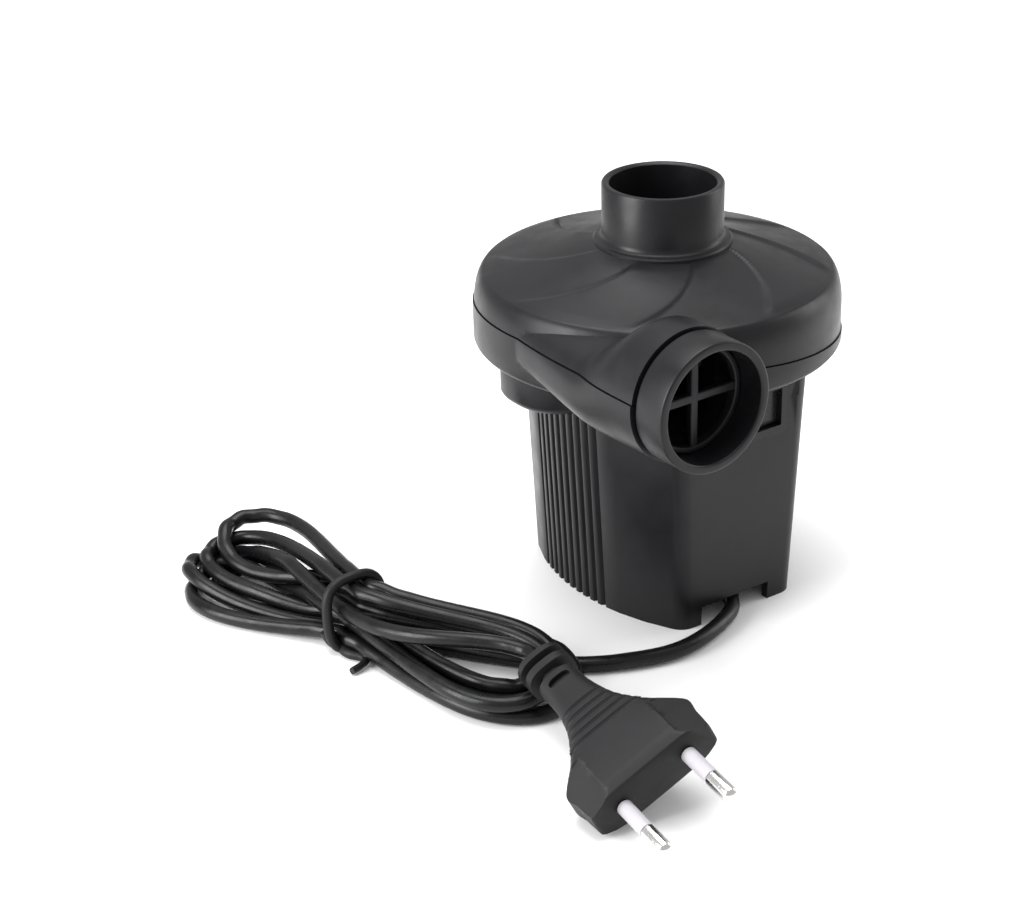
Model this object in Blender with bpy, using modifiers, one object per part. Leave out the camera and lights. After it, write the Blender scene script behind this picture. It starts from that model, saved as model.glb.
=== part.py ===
"""Two-way mains air pump for air beds: a round volute with an upright inlet neck and a side outlet
ring, on a fluted motor casing, with its cord folded into a tied hank and a flat two-pin plug.

Blender 4.5.  Metres, +Z up.  The outlet points along -Y.  The origin is at the middle of the foot
of the pump's box, without the cord.  Every piece hangs on the empty "pump", which stands on the
motor axis, so all sizes below are measured from that axis and from the floor.
"""
import math

import bmesh
import bpy
from mathutils import Matrix, Vector

MM = 0.001

# ---- clearances -------------------------------------------------------------------------------
GAP = 0.3 * MM            # between pieces that touch
RUN = 0.1 * MM            # radial running fit of the shaft
SLIDE = 0.4 * MM          # between pieces that slide in one another

# ---- volute (impeller chamber) ------------------------------------------------------------------
WALL = 2.2 * MM
VOLUTE_R = 48.5 * MM      # outer radius of the round chamber
VOLUTE_X = -1.1 * MM      # centre of the chamber from the motor axis
VOLUTE_Y = 0.8 * MM
VOLUTE_Z = 69.7 * MM      # underside
SHOULDER_Z = 89.8 * MM    # edge between the side wall and the top
SHOULDER_IN = 3.3 * MM    # how far that edge lies inside the side wall
CHIN_H = 2.2 * MM         # height of the rounding under the side wall
SEAM_Z = 81.0 * MM        # height of the outlet axis, where the split between cover and base passes it
SEAM_TILT = 6.0           # degrees that the split falls towards +X, down to the chamber's floor
SEAM_REACH = 130 * MM     # half size of the blocks that make the split

# ---- inlet neck ---------------------------------------------------------------------------------
NECK_R = 16.0 * MM
NECK_BORE = 14.0 * MM
NECK_FOOT_Z = 97.6 * MM
NECK_TOP_Z = 113.0 * MM
NECK_FLARE = 2.0 * MM     # fillet at the neck's foot
INLET_EYE_R = 12.2 * MM
INLET_LEDGE_Z = 97.4 * MM

# ---- outlet -------------------------------------------------------------------------------------
OUTLET_X = -35.6 * MM
OUTLET_Y = -64.2 * MM     # mouth
RING_R = 16.7 * MM
RING_BORE = 14.3 * MM
RING_W = 9.7 * MM         # collar that shows
RING_PLUG = 7.0 * MM      # sleeve that goes into the duct
RING_GROOVE = 0.9 * MM    # shadow gap behind the collar
DUCT_R = 17.1 * MM        # end of the duct
DUCT_START_Y = 9.0 * MM
DUCT_LEVEL = 0.25         # share of the duct whose underside stays level with the chamber's
DUCT_TOP_LEVEL = 0.7      # the same for its top, which stays under the chamber's shoulder
DUCT_BACK_X = (-47.5 * MM, -19.0 * MM)    # sides of the duct where it leaves the chamber
DUCT_POWER = (3.2, 2.0)   # squareness of its section, back and front
DUCT_BACK_IN = (1.2 * MM, 1.6 * MM)       # how far it lies inside the chamber's foot and shoulder there
GRILLE_DEPTH = 7.5 * MM   # outlet grille, from the mouth
GRILLE_T = 2.6 * MM
GRILLE_BAR = 2.2 * MM
GRILLE_RIM = 1.5 * MM

# ---- motor casing -------------------------------------------------------------------------------
CASE_W = 27.8 * MM        # half width at the floor, across the curved sides
CASE_D = 33.1 * MM        # half depth at the floor, to the flat faces
CASE_TAPER_W = 3.9 * MM   # growth of the half width up to the top
CASE_TAPER_D = 1.6 * MM
CASE_SIDE_R = 63.6 * MM   # radius of the curved sides
CASE_CORNER = 3.0 * MM
CASE_TOP_Z = VOLUTE_Z - GAP
CASE_WALL = 2.2 * MM
ARCH_H = 5.3 * MM         # gap under the flat faces, between the legs
ARCH_W = 23.2 * MM
ARCH_X = -1.0 * MM
FLUTES = 10
FLUTE_PITCH = 3.1 * MM
FLUTE_W = 1.3 * MM
FLUTE_DEEP = 0.9 * MM
FLUTE_MID_Y = 4.6 * MM
HOOD_OUT = 46.0 * MM      # hot-air hood on the fluted side
HOOD_HALF_W = 19.0 * MM
HOOD_Z = 59.5 * MM
HOOD_POWER = 2.6          # squareness of its outline
HOOD_CHAMFER = 2.4 * MM

# ---- floor plate --------------------------------------------------------------------------------
FLOOR_Z = ARCH_H + GAP
FLOOR_T = 2.2 * MM
VENT_SLOTS = 6
VENT_PITCH = 5.0 * MM
VENT_W = 2.2 * MM
VENT_L = 20.0 * MM
BOSS_X = 15.6 * MM
BOSS_Y = 27.8 * MM
BOSS_R = 3.9 * MM
BOSS_H = 9.0 * MM

# ---- motor --------------------------------------------------------------------------------------
SHAFT_R = 2.5 * MM
SHAFT_Z = (8.2 * MM, 94.0 * MM)
CORE_Z = 31.5 * MM        # foot of the lamination stacks
CORE_H = 20.0 * MM
ARMATURE_R = 14.0 * MM
AIR_GAP = 0.6 * MM
STATOR_X = 23.0 * MM
STATOR_Y = 26.0 * MM
COIL_Y = (15.7 * MM, 22.3 * MM)
COIL_X = (11.0 * MM, 16.0 * MM)
COIL_END = 5.0 * MM       # how far a field coil stands past the stack
WINDING_R = 12.6 * MM
COMMUTATOR_R = 8.0 * MM
COMMUTATOR_Z = 15.6 * MM
COMMUTATOR_H = 10.0 * MM
COOLER_R = 17.0 * MM
COOLER_Z = 58.0 * MM
COOLER_H = 5.0 * MM
BEARING_R = 6.0 * MM
LOWER_BEARING_Z = 8.7 * MM
UPPER_BEARING_Z = 63.6 * MM
BEARING_H = 5.4 * MM
BRACKET_T = 2.5 * MM
LOWER_BRACKET_Z = 10.2 * MM
UPPER_BRACKET_Z = 65.2 * MM
BOLT_X = 19.6 * MM
BOLT_R = 1.5 * MM
BOLT_HOLE_R = 1.9 * MM
BRUSH = 5.0 * MM
BRUSH_L = 9.0 * MM
BRUSH_Z = 20.4 * MM
HOLDER = 8.6 * MM
HOLDER_Y = (9.6 * MM, 24.4 * MM)

# ---- impeller -----------------------------------------------------------------------------------
IMPELLER_R = 36.0 * MM
IMPELLER_Z = 75.4 * MM
IMPELLER_PLATE = 1.6 * MM
IMPELLER_HUB_R = 6.5 * MM
IMPELLER_HUB_H = 12.4 * MM
BLADES = 8
BLADE_H = 10.0 * MM
BLADE_T = 1.5 * MM
BLADE_IN_R = 13.0 * MM

# ---- rocker switch ------------------------------------------------------------------------------
SWITCH_X = 2.0 * MM
SWITCH_Z = 58.6 * MM
SWITCH_W = 21.0 * MM      # bezel
SWITCH_H = 15.0 * MM
SWITCH_BODY_W = 18.8 * MM
SWITCH_BODY_H = 12.8 * MM
SWITCH_BODY_D = 8.6 * MM
TERMINAL_OUT = 3.2 * MM
SWITCH_LIP = 1.5 * MM
ROCKER_W = 15.8 * MM
ROCKER_H = 9.8 * MM
ROCKER_TILT = 11.0        # degrees each way from level

# ---- screws -------------------------------------------------------------------------------------
SCREW_R = 1.3 * MM
SCREW_HOLE_R = 1.6 * MM
SCREW_HEAD_R = 2.6 * MM
SCREW_HEAD_H = 1.6 * MM
COVER_BOSS_R = 3.4 * MM
COVER_BOSS_IN = 6.2 * MM  # centre of a cover boss inside the side wall
COVER_BOSS_ANGLES = (20.0, 75.0, 130.0, 290.0)
COVER_SCREW_L = 13.0 * MM

# ---- cord ---------------------------------------------------------------------------------------
CORD_R = 2.1 * MM
EXIT = (0.5 * MM, -29.5 * MM, 2.8 * MM)   # tip of the sleeve, under the front arch
EXIT_YAW = -30.0          # degrees, from -Y towards -X
EXIT_DIP = 4.0            # degrees, tip down
SLEEVE_L = 20.0 * MM
SLEEVE_R = (3.5 * MM, 2.6 * MM)
CLAMP_AT = 12.0 * MM      # from the tip of the sleeve
CLAMP_HALF = 7.6 * MM
CLAMP_T = 1.7 * MM
# free stretch of the cord, from the sleeve to the hank, from the motor axis, in millimetres
CORD_ROUTE = ((0.34, -29.78, 2.78), (-0.9, -31.93, 2.62), (-3.3, -34.7, 2.5), (-7.0, -37.0, 2.5),
              (-11.8, -39.2, 2.5), (-17.0, -41.0, 2.5), (-22.5, -42.3, 2.5), (-28.5, -42.7, 2.5),
              (-34.2, -41.8, 2.5), (-39.5, -40.0, 2.5), (-44.6, -37.8, 2.5), (-53.6, -33.8, 2.5))
# outline of the folded cord across its length, from the motor axis, in millimetres: place along Y, lowest
# and highest X, lowest and highest Z; it fans out to the back, and its waist is under the tie
HANK_SECTIONS = ((79.0, -107.0, -91.0, 3.0, 14.0), (75.0, -113.0, -85.0, 0.8, 16.5), (66.0, -118.5, -80.5, 0.4, 18.5),
                 (52.0, -120.0, -79.5, 0.4, 18.8), (38.0, -117.0, -80.5, 0.4, 18.8), (26.0, -108.0, -81.5, 0.6, 18.8),
                 (18.0, -98.5, -82.0, 1.7, 18.4), (12.0, -98.5, -82.0, 1.7, 18.4), (4.0, -96.5, -75.0, 0.6, 18.8),
                 (-8.0, -95.0, -65.0, 0.4, 19.0), (-20.0, -92.5, -56.5, 0.4, 19.4), (-33.0, -90.5, -53.0, 0.4, 18.5),
                 (-41.5, -87.0, -58.5, 0.4, 10.6), (-49.0, -79.0, -69.0, 1.2, 7.0))
HANK_POWER = 3.6          # squareness of its outline
HANK_POINTS = 20
TIE_Y = 15.0 * MM
TIE_W = 3.0 * MM
TIE_T = 1.0 * MM

# ---- plug ---------------------------------------------------------------------------------------
PLUG_FACE = (-79.5 * MM, -96.8 * MM, 12.3 * MM)
PLUG_HALF_W = 17.65 * MM
PLUG_HALF_T = 6.85 * MM
PLUG_L = 54.0 * MM
PLUG_TAIL_R = 4.0 * MM
PLUG_YAW = -6.9           # degrees, pins turned from -Y towards -X
PLUG_PITCH = -3.0         # degrees, pins tipped down
PLUG_ROLL = 28.0          # degrees about the pins
PIN_PITCH = 19.0 * MM
PIN_L = 19.0 * MM
PIN_R = 2.0 * MM
PIN_CORE_R = 1.45 * MM
PIN_SLEEVE_L = 10.0 * MM
PIN_SLEEVE_R = 1.9 * MM
PIN_IN = 8.0 * MM

VOLUTE_SEGMENTS = 52
RING_SEGMENTS = 40
SMALL_SEGMENTS = 20
RIGHT = math.pi / 2

for old in list(bpy.data.objects):
    bpy.data.objects.remove(old, do_unlink=True)

PARTS = bpy.data.collections.new("air_pump")
CUTTERS = bpy.data.collections.new("cutters")
bpy.context.scene.collection.children.link(PARTS)
bpy.context.scene.collection.children.link(CUTTERS)


# ================================ helpers ========================================================
def paint(name, colour, roughness, metallic=0.0):
    """A plain Principled material."""
    material = bpy.data.materials.new(name)
    material.use_nodes = True
    shader = material.node_tree.nodes["Principled BSDF"]
    shader.inputs["Base Color"].default_value = (*colour, 1.0)
    shader.inputs["Roughness"].default_value = roughness
    shader.inputs["Metallic"].default_value = metallic
    return material


SHELL = (0.038, 0.036, 0.040)
BLACK = (0.012, 0.012, 0.013)
STEEL = (0.55, 0.55, 0.56)
COPPER = (0.72, 0.33, 0.16)


def place(name, mesh, colour, roughness=0.5, metallic=0.0, parent=None, at=(0, 0, 0), turn=(0, 0, 0)):
    """A finished part: its own object and its own material, hung on a parent."""
    obj = bpy.data.objects.new(name, mesh)
    PARTS.objects.link(obj)
    obj.parent = parent or PUMP
    obj.location = at
    obj.rotation_euler = turn
    mesh.materials.clear()
    mesh.materials.append(paint(name, colour, roughness, metallic))
    return obj


def guide(name, mesh, parent=None, at=(0, 0, 0), turn=(0, 0, 0)):
    """A shape that only cuts or joins."""
    obj = bpy.data.objects.new(name, mesh)
    CUTTERS.objects.link(obj)
    obj.parent = parent or PUMP
    obj.location = at
    obj.rotation_euler = turn
    obj.hide_render = True
    obj.display_type = "WIRE"
    return obj


def combine(obj, other, operation="DIFFERENCE"):
    """Boolean with a guide."""
    modifier = obj.modifiers.new(other.name, "BOOLEAN")
    modifier.operation = operation
    modifier.object = other
    modifier.solver = "EXACT"
    return obj


def settle(obj):
    """The mesh an object shows once its modifiers have run."""
    bpy.context.view_layer.update()
    graph = bpy.context.evaluated_depsgraph_get()
    mesh = bpy.data.meshes.new_from_object(obj.evaluated_get(graph))
    mesh.name = obj.name
    return mesh


def smooth(mesh, angle=35.0):
    """Shade a round mesh smooth and keep its corners."""
    mesh.shade_smooth()
    mesh.set_sharp_from_angle(angle=math.radians(angle))
    return mesh


def box(name, low, high):
    """A block between two corners."""
    mesh = bpy.data.meshes.new(name)
    bm = bmesh.new()
    size = Vector(high) - Vector(low)
    middle = (Vector(high) + Vector(low)) / 2
    bmesh.ops.create_cube(bm, size=1.0, matrix=Matrix.Translation(middle) @ Matrix.Diagonal((*size, 1)))
    bm.to_mesh(mesh)
    bm.free()
    return mesh


def rod(name, radius, low, high, segments=SMALL_SEGMENTS, top_radius=None):
    """A cylinder or cone along Z."""
    mesh = bpy.data.meshes.new(name)
    bm = bmesh.new()
    end = radius if top_radius is None else top_radius
    bmesh.ops.create_cone(bm, cap_ends=True, segments=segments, radius1=radius, radius2=end,
                          depth=high - low, matrix=Matrix.Translation((0, 0, (low + high) / 2)))
    bm.to_mesh(mesh)
    bm.free()
    return smooth(mesh)


def turned(name, profile, segments=RING_SEGMENTS, closed=False):
    """A profile of (radius, height), down its outer side, turned about Z."""
    count = len(profile)
    edges = [(i, i + 1) for i in range(count - 1)]
    if closed:
        edges.append((count - 1, 0))
    outline = bpy.data.meshes.new(name + "_profile")
    outline.from_pydata([(r, 0.0, z) for r, z in profile], edges, [])
    blank = bpy.data.objects.new(name + "_blank", outline)
    CUTTERS.objects.link(blank)
    screw = blank.modifiers.new("turn", "SCREW")
    screw.steps = segments
    screw.render_steps = segments
    screw.use_merge_vertices = True
    screw.merge_threshold = 0.00001
    mesh = settle(blank)
    bpy.data.objects.remove(blank, do_unlink=True)
    mesh.name = name
    return smooth(mesh)


def tube(name, outer, inner, low, high, segments=RING_SEGMENTS):
    """A plain ring."""
    return turned(name, [(outer, high), (outer, low), (inner, low), (inner, high)], segments, True)


def slab(name, outline, low, high, holes=()):
    """A flat outline, with holes, as thick as low to high."""
    curve = bpy.data.curves.new(name, "CURVE")
    curve.dimensions = "2D"
    curve.fill_mode = "BOTH"
    curve.extrude = (high - low) / 2
    for points in (outline, *holes):
        spline = curve.splines.new("POLY")
        spline.points.add(len(points) - 1)
        for point, (x, y) in zip(spline.points, points):
            point.co = (x, y, 0.0, 1.0)
        spline.use_cyclic_u = True
    blank = bpy.data.objects.new(name + "_blank", curve)
    CUTTERS.objects.link(blank)
    mesh = settle(blank)
    bpy.data.objects.remove(blank, do_unlink=True)
    bm = bmesh.new()
    bm.from_mesh(mesh)
    bmesh.ops.remove_doubles(bm, verts=bm.verts, dist=0.000005)
    bmesh.ops.translate(bm, verts=bm.verts, vec=(0, 0, (low + high) / 2))
    bmesh.ops.recalc_face_normals(bm, faces=bm.faces)
    bm.to_mesh(mesh)
    bm.free()
    return mesh


def loft(name, sections):
    """Closed skin through rings with equal point counts; the first and last are capped."""
    mesh = bpy.data.meshes.new(name)
    bm = bmesh.new()
    rings = [[bm.verts.new(point) for point in ring] for ring in sections]
    count = len(rings[0])
    for low, high in zip(rings, rings[1:]):
        for i in range(count):
            j = (i + 1) % count
            bm.faces.new((low[i], low[j], high[j], high[i]))
    bm.faces.new(rings[0])
    bm.faces.new(rings[-1])
    bmesh.ops.recalc_face_normals(bm, faces=bm.faces)
    bm.to_mesh(mesh)
    bm.free()
    return smooth(mesh)


def circle(radius, count, x=0.0, y=0.0, start=0.0):
    """Points round a circle."""
    turns = [start + 2 * math.pi * i / count for i in range(count)]
    return [(x + radius * math.cos(a), y + radius * math.sin(a)) for a in turns]


def rounded(half_x, half_y, radius, steps=4):
    """A rectangle with round corners."""
    points = []
    for quarter, (sx, sy) in enumerate(((1, 1), (-1, 1), (-1, -1), (1, -1))):
        for i in range(steps + 1):
            a = RIGHT * (quarter + i / steps)
            points.append((sx * (half_x - radius) + radius * math.cos(a),
                           sy * (half_y - radius) + radius * math.sin(a)))
    return points


def superellipse(half_a, half_b, power, count):
    """Points of a rounded outline between an ellipse (2) and a box (large)."""
    points = []
    for i in range(count):
        a = 2 * math.pi * i / count
        c, s = math.cos(a), math.sin(a)
        points.append((half_a * math.copysign(abs(c) ** (2 / power), c),
                       half_b * math.copysign(abs(s) ** (2 / power), s)))
    return points


def screw_mesh(name, length):
    """A pan-head screw, its head below and its shank up along Z."""
    shank = SCREW_R
    head = SCREW_HEAD_R
    profile = [(0, length), (shank * 0.6, length), (shank, length - shank), (shank, 0),
               (head, 0), (head, -SCREW_HEAD_H * 0.6), (head * 0.7, -SCREW_HEAD_H),
               (0, -SCREW_HEAD_H)]
    return turned(name, profile, 10)


# ================================ frame ==========================================================
BOX_X = (OUTLET_X - DUCT_R, VOLUTE_X + VOLUTE_R)
BOX_Y = (OUTLET_Y, VOLUTE_Y + VOLUTE_R)
PUMP = bpy.data.objects.new("pump", None)
bpy.context.scene.collection.objects.link(PUMP)
PUMP.location = (-sum(BOX_X) / 2, -sum(BOX_Y) / 2, 0.0)
ROTOR = bpy.data.objects.new("rotor", None)
bpy.context.scene.collection.objects.link(ROTOR)
ROTOR.parent = PUMP


# ================================ volute =========================================================
def chamber_profile(inset):
    """Half section of the round chamber, drawn in by inset, from the top of its axis to the foot."""
    r = VOLUTE_R - inset
    edge = VOLUTE_R - SHOULDER_IN - inset
    top = SHOULDER_Z - inset
    foot = VOLUTE_Z + inset
    apex = NECK_FOOT_Z + 1.0 * MM - inset
    points = [(0.0, apex), (NECK_R, NECK_FOOT_Z - 0.2 * MM - inset),
              (NECK_R + 0.5 * (edge - NECK_R), top + 0.42 * (NECK_FOOT_Z - SHOULDER_Z)), (edge, top)]
    rise = top - SEAM_Z
    for k in range(1, 5):
        a = RIGHT * k / 4
        points.append((edge + (r - edge) * math.sin(a), SEAM_Z + rise * math.cos(a)))
    chin = CHIN_H
    points.append((r, VOLUTE_Z + inset + 6.0 * MM))
    for k in range(0, 4):
        a = RIGHT * k / 3
        points.append((r - chin * 1.6 + chin * 1.6 * math.cos(a) - 0.4 * MM * math.sin(a),
                       foot + chin - chin * math.sin(a)))
    points.append((0.0, foot))
    return points


def duct_end_y():
    """Back of the outlet ring's shadow gap: where the duct ends."""
    return OUTLET_Y + RING_W + RING_GROOVE


def late_ease(t, level):
    """Stays at nought up to level, then rises smoothly to one."""
    late = max(0.0, (t - level) / (1.0 - level))
    return late * late * (3 - 2 * late)


def duct_sections(inset, back, front, count=24):
    """Rings of the duct, from inside the chamber to its round end, whose last stretch is straight."""
    bend_end = duct_end_y() + RING_PLUG + 2 * GAP
    start_x = (DUCT_BACK_X[0] + inset, DUCT_BACK_X[1] - inset)
    start_z = (VOLUTE_Z + DUCT_BACK_IN[0] + inset, SHOULDER_Z - DUCT_BACK_IN[1] - inset)
    end_r = DUCT_R - inset
    rings = []
    steps = 7
    for k in range(steps + 1):
        t = k / steps
        y = back + (bend_end - back) * t
        ease = late_ease(t, 0.0)
        outer = start_x[0] + (OUTLET_X - end_r - start_x[0]) * (1 - (1 - t) ** 2)
        inner = start_x[1] + (OUTLET_X + end_r - start_x[1]) * ease
        low = start_z[0] + (SEAM_Z - end_r - start_z[0]) * late_ease(t, DUCT_LEVEL)
        high = start_z[1] + (SEAM_Z + end_r - start_z[1]) * late_ease(t, DUCT_TOP_LEVEL)
        power = DUCT_POWER[0] + (DUCT_POWER[1] - DUCT_POWER[0]) * t
        middle = Vector(((outer + inner) / 2, y, (low + high) / 2))
        rings.append([middle + Vector((a, 0, b)) for a, b in
                      superellipse((inner - outer) / 2, (high - low) / 2, power, count)])
    rings.append([Vector((point.x, front, point.z)) for point in rings[-1]])
    return rings


def shell_of_volute():
    """Chamber, duct and neck as one hollow piece, before it is split at the seam."""
    at = (VOLUTE_X, VOLUTE_Y, 0)
    end = duct_end_y()
    solid = guide("volute_outside", turned("volute_outside", chamber_profile(0.0), VOLUTE_SEGMENTS), at=at)
    duct = guide("duct_outside", loft("duct_outside", duct_sections(0.0, DUCT_START_Y, end)))
    neck = guide("neck_outside", turned("neck_outside", [
        (0, NECK_TOP_Z), (NECK_R - 0.6 * MM, NECK_TOP_Z), (NECK_R, NECK_TOP_Z - 0.6 * MM),
        (NECK_R, NECK_FOOT_Z + NECK_FLARE), (NECK_R + NECK_FLARE * 0.28, NECK_FOOT_Z + NECK_FLARE * 0.28),
        (NECK_R + NECK_FLARE, NECK_FOOT_Z - 0.6 * MM), (NECK_R, NECK_FOOT_Z - 3.0 * MM),
        (0, NECK_FOOT_Z - 3.0 * MM)]))
    inside = guide("volute_inside", turned("volute_inside", chamber_profile(WALL), VOLUTE_SEGMENTS), at=at)
    bore = guide("neck_bore", turned("neck_bore", [
        (0, NECK_TOP_Z + 1 * MM), (NECK_BORE + 1.6 * MM, NECK_TOP_Z + 1 * MM),
        (NECK_BORE, NECK_TOP_Z - 0.6 * MM), (NECK_BORE, INLET_LEDGE_Z),
        (INLET_EYE_R, INLET_LEDGE_Z), (INLET_EYE_R, SEAM_Z + 4 * MM), (0, SEAM_Z + 4 * MM)]))
    duct_in = guide("duct_inside", loft("duct_inside", duct_sections(WALL, DUCT_START_Y, end - 0.4 * MM)))
    combine(solid, duct, "UNION")
    combine(solid, neck, "UNION")
    combine(solid, inside)
    combine(solid, duct_in)
    combine(solid, bore)
    return settle(solid)


def boss_centres():
    """Centres of the screw bosses inside the side wall, from the motor axis."""
    reach = VOLUTE_R - COVER_BOSS_IN
    return [(VOLUTE_X + reach * math.cos(math.radians(a)), VOLUTE_Y + reach * math.sin(math.radians(a)))
            for a in COVER_BOSS_ANGLES]


def split(name, mesh, low, high):
    """One side of the tilted seam, as a part; low and high are measured from the seam."""
    obj = place(name, mesh.copy(), SHELL, 0.42)
    obj.location = (VOLUTE_X, VOLUTE_Y, 0)
    side = guide(name + "_side", box(name + "_side", (-SEAM_REACH, -SEAM_REACH, low),
                                     (SEAM_REACH, SEAM_REACH, high)),
                 at=(OUTLET_X, 0, SEAM_Z), turn=(0, math.radians(SEAM_TILT), 0))
    combine(obj, side, "INTERSECT")
    return obj


def upper_cover(shell):
    """Top half: neck, dome and the upper half of the duct, with four screw bosses inside."""
    cover = split("upper_cover", shell, GAP / 2, NECK_TOP_Z)
    for number, (x, y) in enumerate(boss_centres(), 1):
        top = SHOULDER_Z - 0.8 * MM
        post = guide(f"cover_boss_{number}", rod("post", COVER_BOSS_R, SEAM_Z + GAP / 2, top, 14), at=(x, y, 0))
        combine(cover, post, "UNION")
        hole = guide(f"cover_pilot_{number}", rod("pilot", SCREW_HOLE_R, SEAM_Z - MM, top - 1.5 * MM, 12),
                     at=(x, y, 0))
        combine(cover, hole)
    return cover


def volute_base(shell):
    """Lower half: floor, side wall and the lower half of the duct."""
    base = split("volute_base", shell, -NECK_TOP_Z, -GAP / 2)
    for number, (x, y) in enumerate(boss_centres(), 1):
        post = guide(f"base_boss_{number}", rod("post", COVER_BOSS_R, VOLUTE_Z + 1 * MM, SEAM_Z - GAP / 2, 14),
                     at=(x, y, 0))
        combine(base, post, "UNION")
        hole = guide(f"base_hole_{number}", turned("hole", [
            (0, SEAM_Z + MM), (SCREW_HOLE_R, SEAM_Z + MM), (SCREW_HOLE_R, VOLUTE_Z + SCREW_HEAD_H + 0.9 * MM),
            (SCREW_HEAD_R + SLIDE, VOLUTE_Z + SCREW_HEAD_H + 0.9 * MM), (SCREW_HEAD_R + SLIDE, VOLUTE_Z - MM),
            (0, VOLUTE_Z - MM)], 14), at=(x, y, 0))
        combine(base, hole)
    for side in (-1, 1):
        pad_top = VOLUTE_Z + WALL + 2.4 * MM
        pad = guide(f"motor_pad_{side + 2}", rod("pad", 3.6 * MM, VOLUTE_Z + 1 * MM, pad_top, 14),
                    at=(side * BOLT_X, 0, 0))
        combine(base, pad, "UNION")
        tap = guide(f"motor_tap_{side + 2}", rod("tap", BOLT_HOLE_R, VOLUTE_Z - MM, pad_top - 1.0 * MM, 12),
                    at=(side * BOLT_X, 0, 0))
        combine(base, tap)
    shaft_way = guide("shaft_way", rod("shaft_way", SHAFT_R + 1.2 * MM, VOLUTE_Z - MM, SEAM_Z, 20))
    combine(base, shaft_way)
    return base


def cover_screws():
    """Four screws from below, through the base into the cover."""
    for number, (x, y) in enumerate(boss_centres(), 1):
        foot = VOLUTE_Z + SCREW_HEAD_H + 0.9 * MM - GAP
        place(f"cover_screw_{number}", screw_mesh("cover_screw", COVER_SCREW_L), STEEL, 0.3, 1.0,
              at=(x, y, foot))


# ================================ outlet and inlet ===============================================
def outlet_ring():
    """Collar with a sleeve that plugs into the duct; Z of the profile runs out of the mouth."""
    collar = RING_R
    sleeve = DUCT_R - WALL - GAP
    back = -RING_W
    end = -(RING_W + RING_PLUG)
    profile = [(collar - 0.7 * MM, 0), (collar, -0.7 * MM), (collar, back), (sleeve, back), (sleeve, end),
               (sleeve - 1.4 * MM, end), (RING_BORE - 0.9 * MM, end + 1.2 * MM),
               (RING_BORE - 0.9 * MM, -(GRILLE_DEPTH + GRILLE_T + GAP)),
               (RING_BORE, -(GRILLE_DEPTH + GRILLE_T + GAP)), (RING_BORE, -1.0 * MM),
               (RING_BORE + 0.8 * MM, 0)]
    return place("outlet_ring", turned("outlet_ring", profile, closed=True), SHELL, 0.42,
                 at=(OUTLET_X, OUTLET_Y, SEAM_Z), turn=(RIGHT, 0, 0))


def grille(name, radius, bar, low, high, count=2, hub=0.0):
    """A ring with bars across it."""
    ring = guide(name + "_rim", tube(name + "_rim", radius, radius - GRILLE_RIM, low, high, 40))
    obj = guide(name + "_blank", settle(ring))
    reach = radius - GRILLE_RIM * 0.5
    for number in range(count):
        strip = guide(f"{name}_bar_{number}", box("bar", (-reach, -bar / 2, low + 0.2 * MM),
                                                  (reach, bar / 2, high - 0.2 * MM)),
                      turn=(0, 0, math.pi * number / count))
        combine(obj, strip, "UNION")
    if hub:
        combine(obj, guide(name + "_hub", rod("hub", hub, low + 0.1 * MM, high - 0.1 * MM, 20)), "UNION")
    return settle(obj)


def outlet_grille():
    """Plus-shaped guard deep in the outlet."""
    mesh = grille("outlet_grille", RING_BORE - GAP, GRILLE_BAR, -(GRILLE_DEPTH + GRILLE_T), -GRILLE_DEPTH)
    place("outlet_grille", mesh, SHELL, 0.5, at=(OUTLET_X, OUTLET_Y, SEAM_Z), turn=(RIGHT, 0, 0))


def inlet_grille():
    """Finger guard on the ledge in the neck."""
    low = INLET_LEDGE_Z + GAP
    mesh = grille("inlet_grille", NECK_BORE - GAP, 1.8 * MM, low, low + 2.2 * MM, 3, 3.6 * MM)
    place("inlet_grille", mesh, BLACK, 0.5)


# ================================ casing =========================================================
def casing_outline(z, inset=0.0):
    """Section of the casing at a height: flat front and back, curved sides, round corners."""
    t = z / CASE_TOP_Z
    half_w = CASE_W + CASE_TAPER_W * t - inset
    half_d = CASE_D + CASE_TAPER_D * t - inset
    radius = CASE_SIDE_R - inset
    flat = half_w - (radius - math.sqrt(radius ** 2 - half_d ** 2))
    corner = max(CASE_CORNER - inset, 0.8 * MM)
    top = half_d - corner
    side = []
    for k in range(7):
        y = -top + 2 * top * k / 6
        side.append((half_w - (radius - math.sqrt(radius ** 2 - y ** 2)), y))
    bend = []
    x0, y0 = side[-1]
    for k in range(1, 4):
        s = k / 4
        bend.append((x0 * (1 - s) ** 2 + flat * 2 * s * (1 - s) + (flat - corner) * s * s,
                     y0 * (1 - s) ** 2 + half_d * 2 * s * (1 - s) + half_d * s * s))
    half = side + bend + [(flat - corner, half_d)]
    quarter_turned = [(-x, -y) for x, y in half]
    lower = [(x, -y) for x, y in reversed(bend + [(flat - corner, half_d)])]
    upper = [(-x, -y) for x, y in lower]
    return lower + half + upper + quarter_turned


def casing_body(name, inset, low, high):
    """The tapered casing form between two heights."""
    return loft(name, [[Vector((x, y, z)) for x, y in casing_outline(z, inset)] for z in (low, high)])


def hood_sections(inset, low, high):
    """Rounded hot-air hood standing out of the fluted side; its lower edge is chamfered."""
    levels = [(low, 0.0), (high, 0.0)]
    if inset == 0.0:
        levels = [(low, HOOD_CHAMFER), (low + HOOD_CHAMFER, 0.0), (high, 0.0)]
    rings = []
    for z, draw in levels:
        reach = HOOD_OUT - inset - draw
        half = HOOD_HALF_W - inset - draw / 2
        outline = superellipse(reach, half, HOOD_POWER, 28)[7:22]
        rings.append([Vector((x, FLUTE_MID_Y + y, z)) for x, y in outline])
    return rings


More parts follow.
